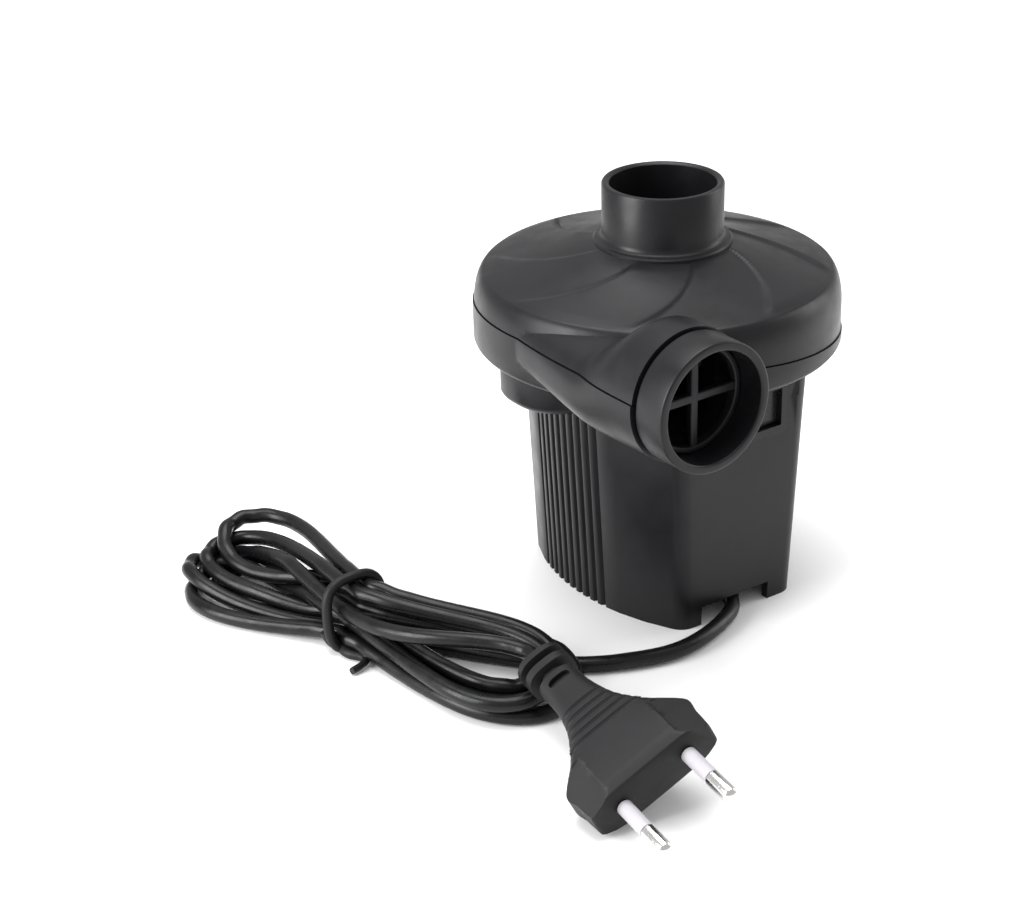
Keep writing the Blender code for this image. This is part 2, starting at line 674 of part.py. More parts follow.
def motor_housing():
    """Tapered casing with legs, flutes, a hot-air hood and a window for the switch."""
    housing = place("motor_housing", casing_body("motor_housing", 0.0, 0.0, CASE_TOP_Z), SHELL, 0.45)
    hood = guide("hood", loft("hood", hood_sections(0.0, HOOD_Z, CASE_TOP_Z)))
    combine(housing, hood, "UNION")
    bore = guide("casing_inside", casing_body("casing_inside", CASE_WALL, -2 * MM, CASE_TOP_Z + 2 * MM))
    combine(housing, bore)
    hood_in = guide("hood_inside", loft("hood_inside", hood_sections(CASE_WALL, HOOD_Z + 2.2 * MM,
                                                                    CASE_TOP_Z + 2 * MM)))
    combine(housing, hood_in)
    room = duct_sections(-GAP, DUCT_START_Y, duct_end_y())
    combine(housing, guide("duct_room", loft("duct_room", room)))
    arch = guide("arch", box("arch", (ARCH_X - ARCH_W / 2, -60 * MM, -5 * MM),
                             (ARCH_X + ARCH_W / 2, 60 * MM, ARCH_H)))
    combine(housing, arch)
    face_y = -(CASE_D + CASE_TAPER_D)
    window = guide("switch_window", box("switch_window", (
        SWITCH_X - SWITCH_BODY_W / 2 - GAP, face_y - 5 * MM, SWITCH_Z - SWITCH_BODY_H / 2 - GAP), (
        SWITCH_X + SWITCH_BODY_W / 2 + GAP, face_y + 8 * MM, SWITCH_Z + SWITCH_BODY_H / 2 + GAP)))
    combine(housing, window)
    for number in range(FLUTES):
        y = FLUTE_MID_Y + (number - (FLUTES - 1) / 2) * FLUTE_PITCH
        cut_flute(housing, number, y)
    for number in range(3):
        y = FLUTE_MID_Y + (number - 1) * 7.0 * MM
        slot = guide(f"hood_slot_{number}", box("slot", (-41.5 * MM, y - 1.4 * MM, HOOD_Z - 2 * MM),
                                                (-34.0 * MM, y + 1.4 * MM, HOOD_Z + 4 * MM)))
        combine(housing, slot)
    for x, y in corner_bosses():
        low = FLOOR_Z + FLOOR_T + GAP
        post = guide("floor_boss", rod("post", BOSS_R, low, low + BOSS_H, 12), at=(x, y, 0))
        combine(housing, post, "UNION")
        pilot = guide("floor_pilot", rod("pilot", SCREW_HOLE_R, low - MM, low + BOSS_H - 2 * MM, 12),
                      at=(x, y, 0))
        combine(housing, pilot)
    return housing


def cut_flute(housing, number, y):
    """One groove that follows the taper of the curved side."""
    low = -2 * MM
    high = HOOD_Z - 0.2 * MM
    sections = []
    for z in (low, high):
        half_w = CASE_W + CASE_TAPER_W * z / CASE_TOP_Z
        wall_x = -(half_w - (CASE_SIDE_R - math.sqrt(CASE_SIDE_R ** 2 - y ** 2)))
        sections.append([Vector((wall_x + FLUTE_DEEP, y - FLUTE_W * 0.3, z)),
                         Vector((wall_x + FLUTE_DEEP, y + FLUTE_W * 0.3, z)),
                         Vector((wall_x - 2 * MM, y + FLUTE_W * 0.9, z)),
                         Vector((wall_x - 2 * MM, y - FLUTE_W * 0.9, z))])
    combine(housing, guide(f"flute_{number}", loft("flute", sections)))


def corner_bosses():
    """Places of the four bosses that take the floor plate's screws."""
    return [(sx * BOSS_X, sy * BOSS_Y) for sx in (-1, 1) for sy in (-1, 1)]


def bottom_cover():
    """Floor plate inside the skirt, with vent slots, screw holes and the cord's notch."""
    plate = place("bottom_cover", casing_body("bottom_cover", CASE_WALL + GAP, FLOOR_Z,
                                              FLOOR_Z + FLOOR_T), SHELL, 0.5)
    for number in range(VENT_SLOTS):
        y = (number - (VENT_SLOTS - 1) / 2) * VENT_PITCH + 2.5 * MM
        slot = guide(f"vent_{number}", box("vent", (-VENT_L / 2, y - VENT_W / 2, 0),
                                           (VENT_L / 2, y + VENT_W / 2, FLOOR_Z + 2 * FLOOR_T)))
        combine(plate, slot)
    for x, y in corner_bosses():
        hole = guide("floor_hole", rod("hole", SCREW_HOLE_R, 0, FLOOR_Z + 2 * FLOOR_T, 12), at=(x, y, 0))
        combine(plate, hole)
    half = SLEEVE_R[0] + 2 * SLIDE
    notch = guide("cord_notch", box("cord_notch", (-half, -SLEEVE_L - SLIDE, -20 * MM), (half, 20 * MM, 20 * MM)),
                  at=EXIT, turn=(0, 0, math.radians(EXIT_YAW + 180)))
    combine(plate, notch)
    for x, y in clamp_screw_places():
        combine(plate, guide("clamp_way", rod("clamp_way", SCREW_HOLE_R, 0, FLOOR_Z + 2 * FLOOR_T, 12),
                             at=(x, y, 0)))
    return plate


def floor_screws():
    """Four screws up through the floor plate."""
    for number, (x, y) in enumerate(corner_bosses(), 1):
        place(f"floor_screw_{number}", screw_mesh("floor_screw", 8.0 * MM), STEEL, 0.3, 1.0,
              at=(x, y, FLOOR_Z - GAP))


# ================================ motor ==========================================================
def rotor_parts():
    """Shaft and everything that turns with it."""
    low, high = SHAFT_Z
    place("motor_shaft", turned("motor_shaft", [
        (0, high), (SHAFT_R - 0.5 * MM, high), (SHAFT_R, high - 0.5 * MM), (SHAFT_R, low + 0.5 * MM),
        (SHAFT_R - 0.5 * MM, low), (0, low)], 24), STEEL, 0.25, 1.0, ROTOR)
    bore = SHAFT_R + GAP
    core = slab("armature_core", armature_outline(), CORE_Z, CORE_Z + CORE_H, [circle(bore, 20)])
    place("armature_core", core, (0.35, 0.35, 0.36), 0.4, 1.0, ROTOR)
    gap = 2 * GAP
    for name, foot in (("armature_winding_upper", CORE_Z + CORE_H + GAP),
                       ("armature_winding_lower", CORE_Z - GAP - COIL_END)):
        place(name, turned(name, [
            (WINDING_R - 1.6 * MM, foot + COIL_END), (WINDING_R, foot + COIL_END - 1.6 * MM),
            (WINDING_R, foot + 1.6 * MM), (WINDING_R - 1.6 * MM, foot), (bore + gap, foot),
            (bore + gap, foot + COIL_END)], 32, True), COPPER, 0.35, 1.0, ROTOR)
    place("commutator", commutator_mesh(bore), COPPER, 0.3, 1.0, ROTOR)
    place("cooling_fan", fan_mesh("cooling_fan", COOLER_R, COOLER_Z, COOLER_H, bore, 9), SHELL, 0.5, 0.0, ROTOR)
    place("impeller", impeller_mesh(bore), (0.75, 0.74, 0.70), 0.45, 0.0, ROTOR)
    top = IMPELLER_Z + IMPELLER_HUB_H
    place("impeller_washer", tube("impeller_washer", 4.8 * MM, bore, top + GAP, top + GAP + 0.8 * MM, 24),
          STEEL, 0.3, 1.0, ROTOR)
    foot = top + 2 * GAP + 0.8 * MM
    nut = slab("impeller_nut", circle(4.6 * MM, 6), foot, foot + 3.0 * MM, [circle(bore, 18)])
    place("impeller_nut", nut, STEEL, 0.3, 1.0, ROTOR)


def armature_outline():
    """Slotted rotor lamination: twelve teeth."""
    points = []
    teeth = 12
    step = 2 * math.pi / teeth
    for k in range(teeth):
        a = k * step
        points += [(ARMATURE_R * math.cos(a + s * step), ARMATURE_R * math.sin(a + s * step))
                   for s in (-0.41, -0.2, 0.0, 0.2, 0.41)]
        inner = ARMATURE_R - 3.0 * MM
        points += [(inner * math.cos(a + s * step), inner * math.sin(a + s * step)) for s in (0.43, 0.57)]
    return points


def commutator_mesh(bore):
    """Segmented copper drum with a flared riser."""
    points = []
    bars = 12
    step = 2 * math.pi / bars
    for k in range(bars):
        a = k * step
        points += [(COMMUTATOR_R * math.cos(a + s * step), COMMUTATOR_R * math.sin(a + s * step))
                   for s in (-0.45, 0.0, 0.45)]
        inner = COMMUTATOR_R - 0.8 * MM
        points.append((inner * math.cos(a + 0.5 * step), inner * math.sin(a + 0.5 * step)))
    return slab("commutator", points, COMMUTATOR_Z, COMMUTATOR_Z + COMMUTATOR_H, [circle(bore, 20)])


def blade(name, inner, outer, lean, thick, low, high, tip_drop=0.0, steps=5):
    """One curved vane from radius to radius."""
    sections = []
    for k in range(steps + 1):
        t = k / steps
        r = inner + (outer - inner) * t
        a = lean * t ** 1.2
        middle = Vector((r * math.cos(a), r * math.sin(a), 0))
        side = Vector((-math.sin(a + 0.5 * lean), math.cos(a + 0.5 * lean), 0)) * thick / 2
        top = high - tip_drop * t
        sections.append([middle - side + Vector((0, 0, low)), middle + side + Vector((0, 0, low)),
                         middle + side + Vector((0, 0, top)), middle - side + Vector((0, 0, top))])
    return loft(name, sections)


def wheel(name, hub_r, hub_h, plate_r, plate_t, foot, bore):
    """Hub and back plate as one turned piece."""
    return turned(name, [(hub_r, foot + hub_h), (hub_r, foot + plate_t), (plate_r, foot + plate_t),
                         (plate_r, foot), (bore, foot), (bore, foot + hub_h)], 36, True)


def impeller_mesh(bore):
    """Centrifugal wheel with backward-curved vanes."""
    body = guide("impeller_body", wheel("impeller_body", IMPELLER_HUB_R, IMPELLER_HUB_H, IMPELLER_R,
                                        IMPELLER_PLATE, IMPELLER_Z, bore))
    for number in range(BLADES):
        vane = blade("vane", BLADE_IN_R, IMPELLER_R - 0.6 * MM, math.radians(-42), BLADE_T,
                     IMPELLER_Z + IMPELLER_PLATE / 2, IMPELLER_Z + IMPELLER_PLATE + BLADE_H, 1.8 * MM)
        combine(body, guide(f"vane_{number}", vane, turn=(0, 0, 2 * math.pi * number / BLADES)), "UNION")
    return smooth(settle(body))


def fan_mesh(name, radius, foot, height, bore, blades):
    """Small radial fan that draws air over the motor."""
    body = guide(name + "_body", wheel(name + "_body", 5.5 * MM, height, radius - 0.8 * MM, 1.2 * MM,
                                       foot, bore))
    for number in range(blades):
        vane = box("fan_vane", (6.5 * MM, -0.6 * MM, foot + 0.6 * MM), (radius - 1.2 * MM, 0.6 * MM,
                                                                       foot + height))
        combine(body, guide(f"{name}_vane_{number}", vane, turn=(0, 0, 2 * math.pi * number / blades)),
                "UNION")
    return settle(body)


def bearings():
    """Two plain bushes on the shaft."""
    for name, foot in (("lower_bearing", LOWER_BEARING_Z), ("upper_bearing", UPPER_BEARING_Z)):
        place(name, turned(name, [
            (BEARING_R - 0.6 * MM, foot + BEARING_H), (BEARING_R, foot + BEARING_H - 0.6 * MM),
            (BEARING_R, foot + 0.6 * MM), (BEARING_R - 0.6 * MM, foot), (SHAFT_R + RUN, foot),
            (SHAFT_R + RUN, foot + BEARING_H)], 32, True), (0.62, 0.45, 0.22), 0.4, 1.0)


def bracket(name, foot, arms_y):
    """Bearing bracket: a strap across the bolts, with a second arm where the brushes sit."""
    strap = rounded(BOLT_X + 3.6 * MM, 7.0 * MM, 3.0 * MM)
    mesh = slab(name, strap, foot, foot + BRACKET_T)
    obj = place(name, mesh, (0.5, 0.5, 0.5), 0.35, 1.0)
    if arms_y:
        arm = guide(name + "_arm", box("arm", (-5.0 * MM, -arms_y, foot), (5.0 * MM, arms_y,
                                                                          foot + BRACKET_T)))
        combine(obj, arm, "UNION")
    seat = guide(name + "_seat", rod("seat", BEARING_R + GAP, foot - 5 * MM, foot + 9 * MM, 32))
    combine(obj, seat)
    for side in (-1, 1):
        hole = guide(f"{name}_hole_{side + 2}", rod("hole", BOLT_HOLE_R, foot - 5 * MM, foot + 9 * MM, 12),
                     at=(side * BOLT_X, 0, 0))
        combine(obj, hole)
    return obj


def stator():
    """Lamination stack with its bore, four coil windows and two bolt holes."""
    outer = rounded(STATOR_X, STATOR_Y, 6.0 * MM)
    holes = [circle(ARMATURE_R + AIR_GAP, 40)]
    for side in (-1, 1):
        holes.append(circle(BOLT_HOLE_R, 12, side * BOLT_X))
        for end in (-1, 1):
            x0, x1 = sorted((side * (COIL_X[0] - SLIDE), side * (COIL_X[1] + SLIDE)))
            y0, y1 = sorted((end * (COIL_Y[0] - SLIDE), end * (COIL_Y[1] + SLIDE)))
            holes.append([(x0, y0), (x1, y0), (x1, y1), (x0, y1)])
    mesh = slab("stator_core", outer, CORE_Z, CORE_Z + CORE_H, holes)
    place("stator_core", mesh, (0.35, 0.35, 0.36), 0.4, 1.0)


def field_coils():
    """Two wound frames through the stator's windows."""
    height = CORE_H / 2 + COIL_END + SLIDE
    window = [(x, z) for x, z in rounded(COIL_X[0], CORE_H / 2 + SLIDE, 0.2 * MM, 1)]
    frame = rounded(COIL_X[1], height, 2.5 * MM)
    for number, end in enumerate((-1, 1), 1):
        y0, y1 = sorted((end * COIL_Y[0], end * COIL_Y[1]))
        mesh = slab(f"field_coil_{number}", frame, -y1, -y0, [window])
        place(f"field_coil_{number}", mesh, COPPER, 0.35, 1.0, at=(0, 0, CORE_Z + CORE_H / 2),
              turn=(RIGHT, 0, 0))


def brush_gear():
    """Brush holders, carbon brushes and their springs, on the lower bracket."""
    foot = LOWER_BRACKET_Z + BRACKET_T + GAP
    top = BRUSH_Z + HOLDER / 2 - 0.4 * MM
    bore = BRUSH / 2 + GAP
    tip = COMMUTATOR_R + GAP
    for number, end in enumerate((-1, 1), 1):
        turn = (0, 0, 0 if end > 0 else math.pi)
        holder = place(f"brush_holder_{number}", box("brush_holder", (-HOLDER / 2, HOLDER_Y[0], foot),
                                                    (HOLDER / 2, HOLDER_Y[1], top)), BLACK, 0.5, turn=turn)
        way = guide(f"brush_way_{number}", box("brush_way", (-bore, 0, BRUSH_Z - bore),
                                               (bore, HOLDER_Y[1] - 1.2 * MM, BRUSH_Z + bore)), turn=turn)
        combine(holder, way)
        place(f"carbon_brush_{number}", box("carbon_brush", (-BRUSH / 2, tip, BRUSH_Z - BRUSH / 2),
                                            (BRUSH / 2, tip + BRUSH_L, BRUSH_Z + BRUSH / 2)),
              (0.05, 0.05, 0.05), 0.6, turn=turn)
        spring(f"brush_spring_{number}", tip + BRUSH_L + GAP, HOLDER_Y[1] - 1.2 * MM - GAP, turn)


def spring(name, start, end, turn):
    """Coil spring behind a brush."""
    wire = 0.3 * MM
    radius = 1.7 * MM
    coils = 4
    per_turn = 8
    curve = bpy.data.curves.new(name, "CURVE")
    curve.dimensions = "3D"
    curve.bevel_depth = wire
    curve.bevel_resolution = 0
    curve.use_fill_caps = True
    spline = curve.splines.new("POLY")
    count = coils * per_turn + 1
    spline.points.add(count - 1)
    for k, point in enumerate(spline.points):
        a = 2 * math.pi * k / per_turn
        y = start + wire + (end - start - 2 * wire) * k / (count - 1)
        point.co = (radius * math.cos(a), y, BRUSH_Z + radius * math.sin(a), 1.0)
    tube_object(name, curve, STEEL, 0.3, 1.0, turn)


def tube_object(name, curve, colour, roughness, metallic=0.0, turn=(0, 0, 0)):
    """A bevelled curve as a closed mesh part."""
    blank = bpy.data.objects.new(name + "_blank", curve)
    CUTTERS.objects.link(blank)
    mesh = settle(blank)
    bpy.data.objects.remove(blank, do_unlink=True)
    bm = bmesh.new()
    bm.from_mesh(mesh)
    bmesh.ops.remove_doubles(bm, verts=bm.verts, dist=0.000005)
    bmesh.ops.recalc_face_normals(bm, faces=bm.faces)
    bm.to_mesh(mesh)
    bm.free()
    return place(name, smooth(mesh, 60), colour, roughness, metallic, turn=turn)


def motor_bolts():
    """Two long bolts that hold brackets and stack under the volute."""
    head = LOWER_BRACKET_Z - GAP
    tip = VOLUTE_Z + WALL + 0.8 * MM
    for number, side in enumerate((-1, 1), 1):
        place(f"motor_bolt_{number}", turned("motor_bolt", [
            (0, tip), (BOLT_R, tip), (BOLT_R, head), (BOLT_R * 1.9, head), (BOLT_R * 1.9, head - 1.2 * MM),
            (0, head - 1.2 * MM)], 16), STEEL, 0.3, 1.0, at=(side * BOLT_X, 0, 0))


def noise_capacitor():
    """Interference capacitor beside the wall."""
    half_w = CASE_W + CASE_TAPER_W * 54 * MM / CASE_TOP_Z - CASE_WALL
    x1 = half_w - (CASE_SIDE_R - math.sqrt(CASE_SIDE_R ** 2 - (6 * MM) ** 2)) - 2 * GAP
    place("noise_capacitor", box("noise_capacitor", (x1 - 5 * MM, -6 * MM, 54 * MM), (x1, 6 * MM, 63 * MM)),
          (0.55, 0.42, 0.06), 0.4)


# ================================ switch =========================================================
def face_depth(z):
    """Y of the casing's flat front at a height."""
    return -(CASE_D + CASE_TAPER_D * z / CASE_TOP_Z)


def switch():
    """Bezel with its body, the rocker in its off position, and two blade terminals."""
    front = face_depth(SWITCH_Z - SWITCH_H / 2 - MM) - 2 * GAP
    middle = (SWITCH_X, front, SWITCH_Z)
    lip = SWITCH_LIP
    bezel = place("switch_bezel", slab("switch_bezel", rounded(SWITCH_W / 2, SWITCH_H / 2, 1.0 * MM, 2), 0, lip),
                  BLACK, 0.35, at=middle, turn=(RIGHT, 0, 0))
    body = guide("switch_body", box("switch_body", (-SWITCH_BODY_W / 2, -SWITCH_BODY_H / 2, -SWITCH_BODY_D),
                                    (SWITCH_BODY_W / 2, SWITCH_BODY_H / 2, lip / 2)), at=middle,
                 turn=(RIGHT, 0, 0))
    combine(bezel, body, "UNION")
    well = guide("switch_well", box("switch_well", (
        -ROCKER_W / 2 - 0.8 * MM, -ROCKER_H / 2 - GAP, -SWITCH_BODY_D + 1.2 * MM), (
        ROCKER_W / 2 + 0.8 * MM, ROCKER_H / 2 + GAP, 5 * MM)), at=middle, turn=(RIGHT, 0, 0))
    combine(bezel, well)
    for number, side in enumerate((-1, 1), 1):
        x = side * 4.0 * MM
        slot = guide(f"terminal_slot_{number}", box("terminal_slot", (x - 0.4 * MM - GAP, -2.4 * MM - GAP,
                                                                      -SWITCH_BODY_D - MM),
                                                    (x + 0.4 * MM + GAP, 2.4 * MM + GAP,
                                                     -SWITCH_BODY_D + 3 * MM)), at=middle, turn=(RIGHT, 0, 0))
        combine(bezel, slot)
        place(f"switch_terminal_{number}", box("switch_terminal", (
            x - 0.4 * MM, -2.4 * MM, -SWITCH_BODY_D - TERMINAL_OUT), (
            x + 0.4 * MM, 2.4 * MM, -SWITCH_BODY_D + 1.0 * MM)), (0.7, 0.55, 0.25), 0.3, 1.0,
            at=middle, turn=(RIGHT, 0, 0))
    pivot = (SWITCH_X, front + 2.6 * MM, SWITCH_Z)
    half = ROCKER_W / 2
    outline = [(-half, -2.0 * MM), (-half * 0.5, -3.0 * MM), (half * 0.5, -3.0 * MM), (half, -2.0 * MM),
               (half, 3.9 * MM), (half * 0.5, 3.3 * MM), (0, 3.0 * MM), (-half * 0.5, 3.3 * MM),
               (-half, 3.9 * MM)]
    rocker = slab("switch_rocker", outline, -ROCKER_H / 2, ROCKER_H / 2)
    bm = bmesh.new()
    bm.from_mesh(rocker)
    bmesh.ops.rotate(bm, verts=bm.verts, cent=(0, 0, 0), matrix=Matrix.Rotation(math.pi, 3, "X"))
    bm.to_mesh(rocker)
    bm.free()
    place("switch_rocker", rocker, BLACK, 0.3, at=pivot, turn=(0, 0, math.radians(ROCKER_TILT)))


# ================================ cord ===========================================================
def exit_turn():
    """Turn that lays +Z along the way the cord leaves."""
    return (RIGHT + math.radians(EXIT_DIP), 0, math.radians(EXIT_YAW))


def along_sleeve(back, side=0.0):
    """Place beside the sleeve's axis, seen from above."""
    a = math.radians(EXIT_YAW)
    return (EXIT[0] - back * math.sin(a) + side * math.cos(a), EXIT[1] + back * math.cos(a) + side * math.sin(a))


def clamp_screw_places():
    """Both ends of the cord clamp."""
    return [along_sleeve(CLAMP_AT, side * (CLAMP_HALF - SCREW_R)) for side in (-1, 1)]


def strain_relief():
    """Tapered sleeve under the front arch, with the cord's bore."""
    root, tip = SLEEVE_R
    bore = CORD_R - 0.9 * MM
    profile = [(tip - 0.5 * MM, 0), (tip, -0.5 * MM), (root, -SLEEVE_L), (bore, -SLEEVE_L), (bore, 0)]
    place("strain_relief", turned("strain_relief", profile, 24, True), BLACK, 0.55, at=EXIT, turn=exit_turn())


def cord_clamp():
    """Saddle over the sleeve, on the floor plate, with two screws from below."""
    low = FLOOR_Z + FLOOR_T + GAP
    x, y = along_sleeve(CLAMP_AT)
    turn = (0, 0, math.radians(EXIT_YAW))
    clamp = place("cord_clamp", box("cord_clamp", (-CLAMP_HALF, -2.0 * MM, low), (CLAMP_HALF, 2.0 * MM,
                                                                                 low + CLAMP_T)),
                  BLACK, 0.5, at=(x, y, 0), turn=turn)
    rib_low = EXIT[2] + CLAMP_AT * math.sin(math.radians(EXIT_DIP)) + SLEEVE_R[0]
    rib = guide("clamp_rib", box("clamp_rib", (-3.0 * MM, -1.4 * MM, rib_low), (3.0 * MM, 1.4 * MM,
                                                                               low + CLAMP_T / 2)),
                at=(x, y, 0), turn=turn)
    combine(clamp, rib, "UNION")
    for number, (sx, sy) in enumerate(clamp_screw_places(), 1):
        pilot = guide(f"clamp_pilot_{number}", rod("pilot", SCREW_R + GAP, low - MM, low + CLAMP_T + MM, 12),
                      at=(sx, sy, 0))
        combine(clamp, pilot)
        place(f"clamp_screw_{number}", screw_mesh("clamp_screw", FLOOR_T + 2 * GAP + CLAMP_T), STEEL, 0.3, 1.0,
              at=(sx, sy, FLOOR_Z - GAP))


def smooth_route(points, spacing):
    """Points at even steps along a Catmull-Rom curve through a route."""
    knots = [Vector(p) for p in points]
    knots = [2 * knots[0] - knots[1]] + knots + [2 * knots[-1] - knots[-2]]
    fine = []
    for a, b, c, d in zip(knots, knots[1:], knots[2:], knots[3:]):
        for k in range(24):
            t = k / 24
            fine.append(0.5 * ((2 * b) + (c - a) * t + (2 * a - 5 * b + 4 * c - d) * t * t
                               + (3 * b - a - 3 * c + d) * t ** 3))
    fine.append(knots[-2])
    total = sum((q - p).length for p, q in zip(fine, fine[1:]))
    count = max(2, round(total / spacing))
    picked = [fine[0]]
    gone = 0.0
    for p, q in zip(fine, fine[1:]):
        gone += (q - p).length
        if gone >= total * len(picked) / count - 1e-9 and len(picked) < count:
            picked.append(q)
    picked.append(fine[-1])
    return picked


def cord_lead():
    """Free stretch of the cord on the floor."""
    curve = bpy.data.curves.new("cord_lead", "CURVE")
    curve.dimensions = "3D"
    curve.bevel_depth = CORD_R
    curve.bevel_resolution = 2
    curve.use_fill_caps = True
    points = smooth_route([[c * MM for c in p] for p in CORD_ROUTE], 4.6 * MM)
    spline = curve.splines.new("POLY")
    spline.points.add(len(points) - 1)
    for knot, point in zip(spline.points, points):
        knot.co = (*point, 1.0)
    tube_object("cord_lead", curve, BLACK, 0.45)


def hank_outline(y, x_low, x_high, z_low, z_high):
    """One rounded outline across the hank; sizes in millimetres."""
    middle = Vector(((x_low + x_high) / 2, y, (z_low + z_high) / 2))
    points = superellipse((x_high - x_low) / 2, (z_high - z_low) / 2, HANK_POWER, HANK_POINTS)
    return [(middle + Vector((x, 0, z))) * MM for x, z in points]


def cord_hank():
    """Outer form of the folded cord."""
    place("cord_hank", loft("cord_hank", [hank_outline(*section) for section in HANK_SECTIONS]), BLACK, 0.45)


def twist_tie():
    """Band round the hank's waist."""
    waist = min(HANK_SECTIONS, key=lambda section: abs(section[0] * MM - TIE_Y))
    x_low, x_high, z_low, z_high = (size * MM for size in waist[1:])
    middle = ((x_low + x_high) / 2, TIE_Y, (z_low + z_high) / 2)
    half_x = (x_high - x_low) / 2 + GAP
    half_z = (z_high - z_low) / 2 + GAP
    outer = rounded(half_x + TIE_T, half_z + TIE_T, 4.0 * MM)
    inner = rounded(half_x, half_z, 3.0 * MM)
    place("twist_tie", slab("twist_tie", outer, -TIE_W / 2, TIE_W / 2, [inner]), BLACK, 0.5, at=middle,
          turn=(RIGHT, 0, 0))


def plug_frame():
    """Matrix of the plug: pins along +Z, spaced along X, face at the origin."""
    base = Matrix(((1, 0, 0), (0, 0, -1), (0, 1, 0))).to_4x4()
    yaw = Matrix.Rotation(math.radians(PLUG_YAW), 4, "Z")
    pitch = Matrix.Rotation(math.radians(-PLUG_PITCH), 4, "X")
    roll = Matrix.Rotation(math.radians(PLUG_ROLL), 4, "Z")
    return Matrix.Translation(PLUG_FACE) @ yaw @ pitch @ base @ roll


def plug():
    """Flat two-pin plug on an empty of its own: body, pins and insulating sleeves."""
    holder = bpy.data.objects.new("plug", None)
    bpy.context.scene.collection.objects.link(holder)
    holder.parent = PUMP
    holder.matrix_local = plug_frame()
    stages = ((0.0, 1.0, 1.0, 3.0), (0.05, 1.0, 1.0, 3.2), (0.24, 1.0, 1.0, 3.2), (0.34, 0.86, 0.94, 3.0),
              (0.5, 0.58, 0.82, 2.6), (0.68, 0.4, 0.74, 2.4), (0.84, 0.3, 0.66, 2.2), (1.0, None, None, 2.0))
    rings = []
    for t, wide, thick, power in stages:
        a = PLUG_TAIL_R if wide is None else PLUG_HALF_W * wide
        b = PLUG_TAIL_R if thick is None else PLUG_HALF_T * thick
        rings.append([Vector((x, y, -PLUG_L * t)) for x, y in superellipse(a, b, power, 24)])
    body = place("plug_body", loft("plug_body", rings), BLACK, 0.5, parent=holder)
    for number, side in enumerate((1, -1), 1):
        at = (side * PIN_PITCH / 2, 0, 0)
        hole = guide(f"pin_hole_{number}", rod("pin_hole", PIN_CORE_R + GAP, -PIN_IN, 1 * MM, 14),
                     parent=holder, at=at)
        combine(body, hole)
        shoulder = PIN_SLEEVE_L + 2 * GAP
        place(f"plug_pin_{number}", turned("plug_pin", [
            (0, PIN_L), (PIN_R * 0.55, PIN_L - 0.2 * MM), (PIN_R * 0.9, PIN_L - 0.9 * MM),
            (PIN_R, PIN_L - 1.8 * MM), (PIN_R, shoulder), (PIN_CORE_R, shoulder),
            (PIN_CORE_R, -PIN_IN + GAP), (0, -PIN_IN + GAP)], 18), STEEL, 0.15, 1.0, holder, at)
        place(f"pin_sleeve_{number}", tube("pin_sleeve", PIN_SLEEVE_R, PIN_CORE_R + 0.15 * MM, GAP,
                                           GAP + PIN_SLEEVE_L, 18), (0.6, 0.6, 0.6), 0.5, 0.0, holder, at)


# ================================ assembly =======================================================
def build():
    shell = shell_of_volute()
    upper_cover(shell)
    volute_base(shell)
    cover_screws()
    outlet_ring()
    outlet_grille()
    inlet_grille()
    motor_housing()
    bottom_cover()
    floor_screws()
    rotor_parts()
    bearings()
    bracket("lower_bracket", LOWER_BRACKET_Z, HOLDER_Y[1])
    bracket("upper_bracket", UPPER_BRACKET_Z, 0.0)
    stator()
    field_coils()
    brush_gear()
    motor_bolts()
    noise_capacitor()
    switch()
    strain_relief()
    cord_clamp()
    cord_lead()
    cord_hank()
    twist_tie()
    plug()


build()
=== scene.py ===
"""Looks of the two-way air pump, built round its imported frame.  Metres, +Z up."""
import math

import bmesh
import bpy
import numpy as np
from mathutils import Matrix, Vector


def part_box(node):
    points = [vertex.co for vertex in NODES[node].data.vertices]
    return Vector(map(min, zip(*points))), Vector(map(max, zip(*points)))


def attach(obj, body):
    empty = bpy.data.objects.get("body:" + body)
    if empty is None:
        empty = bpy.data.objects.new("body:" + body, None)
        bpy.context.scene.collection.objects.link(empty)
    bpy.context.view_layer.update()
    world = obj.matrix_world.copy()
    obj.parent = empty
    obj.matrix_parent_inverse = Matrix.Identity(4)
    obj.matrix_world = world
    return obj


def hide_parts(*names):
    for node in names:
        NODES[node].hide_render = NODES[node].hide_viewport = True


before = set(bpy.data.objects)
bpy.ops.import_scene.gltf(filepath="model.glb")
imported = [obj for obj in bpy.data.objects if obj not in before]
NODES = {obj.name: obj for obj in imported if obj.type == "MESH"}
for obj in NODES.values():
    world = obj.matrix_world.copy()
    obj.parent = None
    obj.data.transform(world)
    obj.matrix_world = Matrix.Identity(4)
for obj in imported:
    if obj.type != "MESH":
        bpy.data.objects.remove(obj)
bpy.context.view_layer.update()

MM = 0.001
RIGHT = math.pi / 2
SHAFT_LOW, SHAFT_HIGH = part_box("motor_shaft")
AXIS = Vector(((SHAFT_LOW.x + SHAFT_HIGH.x) / 2, (SHAFT_LOW.y + SHAFT_HIGH.y) / 2, 0.0))
PIECES = bpy.data.collections.new("looks")
bpy.context.scene.collection.children.link(PIECES)


def at(x, y, z):
    """A point given in millimetres from the motor axis and the floor."""
    return AXIS + Vector((x, y, z)) * MM


# ---- camera --------------------------------------------------------------------------------------
CAMERA_AZIMUTH, CAMERA_ELEVATION, CAMERA_ROLL = (math.radians(a) for a in (-34.9, 25.8, -1.4))
CAMERA_TARGET = (0, 0, 60)
CAMERA_FAR, CAMERA_RIGHT, CAMERA_UP = 600, -40.2, -23.5
CAMERA_LENS = 78.44


